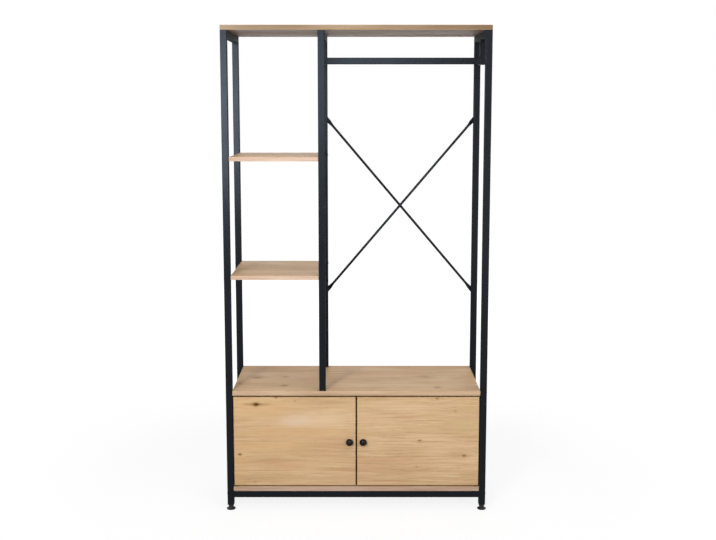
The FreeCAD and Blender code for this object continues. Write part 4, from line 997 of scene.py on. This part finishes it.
threadedStud = buildThreadedStud()
for corner in corners:
    node = f"{corner}_stud"
    low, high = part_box(node)
    middle = (low + high) / 2
    mesh = bpy.data.meshes.new(f"{corner}_threaded_stud")
    mesh.from_pydata([(middle.x, middle.y, low.z)], [], [])
    piece = linkMesh(f"{corner}_threaded_stud", mesh, finishOf(node))
    runNodes(piece, threadedStud, {
        "Radius": (high.x - low.x) / 2, "Length": high.z - low.z, "Pitch": studMake["pitch"],
        "Thread Depth": studMake["threadDepth"], "Finish": finishOf(node),
    })
    standFor(piece, node)
print("studs threaded")


# Boards take their place once what is sunk in them is known

recessMake = {"clearance": 0.3 * mm, "sides": 40}


def sinkHeads(piece, node):
    for found in fastenerSeats(node):
        radius = found["headRadius"] + recessMake["clearance"]
        depth = found["headHeight"] + recessMake["clearance"]
        cutter = bmesh.new()
        place = Matrix.Translation(found["seat"] - Vector((0.0, 0.0, depth / 2)))
        bmesh.ops.create_cone(
            cutter, cap_ends=True, segments=recessMake["sides"],
            radius1=radius, radius2=radius, depth=depth, matrix=place)
        mesh = bpy.data.meshes.new("recess")
        cutter.to_mesh(mesh)
        cutter.free()
        tool = bpy.data.objects.new("recess", mesh)
        scene.collection.objects.link(tool)
        sink = piece.modifiers.new("recess", "BOOLEAN")
        sink.operation = "DIFFERENCE"
        sink.object = tool
        settle(piece)
        bpy.data.objects.remove(tool)


sinkHeads(boards["cabinet_top"], "divider_bolts")
for node, piece in boards.items():
    standFor(piece, node)
print("boards in place")


# Studio

studio = {
    "floorSize": 80.0,
    "floorDrop": 0.2 * mm,
    "floorColour": (0.17, 0.17, 0.17, 1.0),
    "glowReach": (1.0, 3.5),    # distances from the object between which the floor's glow grows
    "glow": (0.85, 1.0),        # what the camera adds to the lit floor
    "ambient": 0.22,
}


def seenDirectly(tree):
    # by the camera, or in a mirror or a pane
    rays = put(tree, "ShaderNodeLightPath").outputs
    mirrored = calc(tree, "MAXIMUM", rays["Is Glossy Ray"], rays["Is Transmission Ray"])
    return calc(tree, "MAXIMUM", rays["Is Camera Ray"], mirrored)


def makeFloor():
    half = studio["floorSize"] / 2
    rim = [(-half, -half, 0.0), (half, -half, 0.0), (half, half, 0.0), (-half, half, 0.0)]
    mesh = bpy.data.meshes.new("floor")
    mesh.from_pydata(rim, [], [(0, 1, 2, 3)])
    material = bpy.data.materials.new("paleFloor")
    material.use_nodes = True
    tree = material.node_tree
    tree.nodes.clear()
    matt = put(tree, "ShaderNodeBsdfDiffuse", {"Color": studio["floorColour"]}).outputs[0]
    place = put(tree, "ShaderNodeTexCoord").outputs["Object"]
    away = put(tree, "ShaderNodeVectorMath", {0: place}, operation="LENGTH").outputs["Value"]
    rise = spread(tree, away, *studio["glowReach"], *studio["glow"])
    shown = calc(tree, "MULTIPLY", seenDirectly(tree), rise)
    glow = put(tree, "ShaderNodeEmission", {"Strength": shown}).outputs[0]
    both = put(tree, "ShaderNodeAddShader", {0: matt, 1: glow}).outputs[0]
    put(tree, "ShaderNodeOutputMaterial", {"Surface": both})
    floor = linkMesh("floor", mesh, material)
    floor.location.z = -studio["floorDrop"]


def makeWorld():
    world = bpy.data.worlds.new("studioWorld")
    world.use_nodes = True
    tree = world.node_tree
    tree.nodes.clear()
    white = (1.0, 1.0, 1.0, 1.0)
    soft = put(tree, "ShaderNodeBackground", {"Color": white, "Strength": studio["ambient"]}).outputs[0]
    plain = put(tree, "ShaderNodeBackground", {"Color": white, "Strength": 1.0}).outputs[0]
    both = put(tree, "ShaderNodeMixShader", {0: seenDirectly(tree), 1: soft, 2: plain}).outputs[0]
    put(tree, "ShaderNodeOutputWorld", {"Surface": both})
    scene.world = world


# place, what the lamp faces, size, power and tint
lamps = {
    "key": ((-1.5, -3.9, 3.0), (0.0, 0.0, 0.6), 0.7, 63.0, (1.0, 0.97, 0.935)),
    "softbox": ((-1.3, -4.3, 1.55), (-0.4, 0.0, 1.3), 1.2, 75.0, (0.82, 0.91, 1.0)),
    "glint": ((0.05, -4.35, 1.85), (0.0, 0.0, 1.5), 1.0, 24.0, (0.80, 0.90, 1.0)),
    "sideGlint": ((1.05, -4.3, 0.65), (0.4, 0.0, 1.1), 0.9, 3.0, (1.0, 1.0, 1.0)),
    "fill": ((2.6, -3.8, 2.3), (0.0, 0.0, 0.6), 3.0, 91.0, (1.0, 0.98, 0.95)),
    "top": ((0.0, -1.2, 4.4), (0.0, 0.0, 0.3), 2.6, 22.0, (1.0, 1.0, 1.0)),
    "back": ((0.4, 4.6, 2.2), (0.0, 0.0, 0.9), 3.2, 90.0, (1.0, 1.0, 1.0)),
}


def makeLamps():
    for name, (place, target, size, power, tint) in lamps.items():
        light = bpy.data.lights.new(name, "AREA")
        light.size = size
        light.energy = power
        light.color = tint
        stand = bpy.data.objects.new(name, light)
        stand.location = place
        aim = Vector(target) - Vector(place)
        stand.rotation_euler = aim.to_track_quat("-Z", "Y").to_euler()
        scene.collection.objects.link(stand)


viewpoint = {
    "place": (6.4 * mm, -4095.0 * mm, 1550.0 * mm),
    "lookDown": 7.52,           # degrees below level
    "lens": 52.65,
    "shiftY": -0.034,
}


def makeCamera():
    camera = bpy.data.objects.new("camera", bpy.data.cameras.new("camera"))
    camera.location = viewpoint["place"]
    camera.rotation_euler = (math.radians(90.0 - viewpoint["lookDown"]), 0.0, 0.0)
    camera.data.lens = viewpoint["lens"]
    camera.data.shift_y = viewpoint["shiftY"]
    scene.collection.objects.link(camera)
    scene.camera = camera


makeFloor()
makeWorld()
makeLamps()
makeCamera()
scene.view_settings.view_transform = "Standard"
print("studio ready")
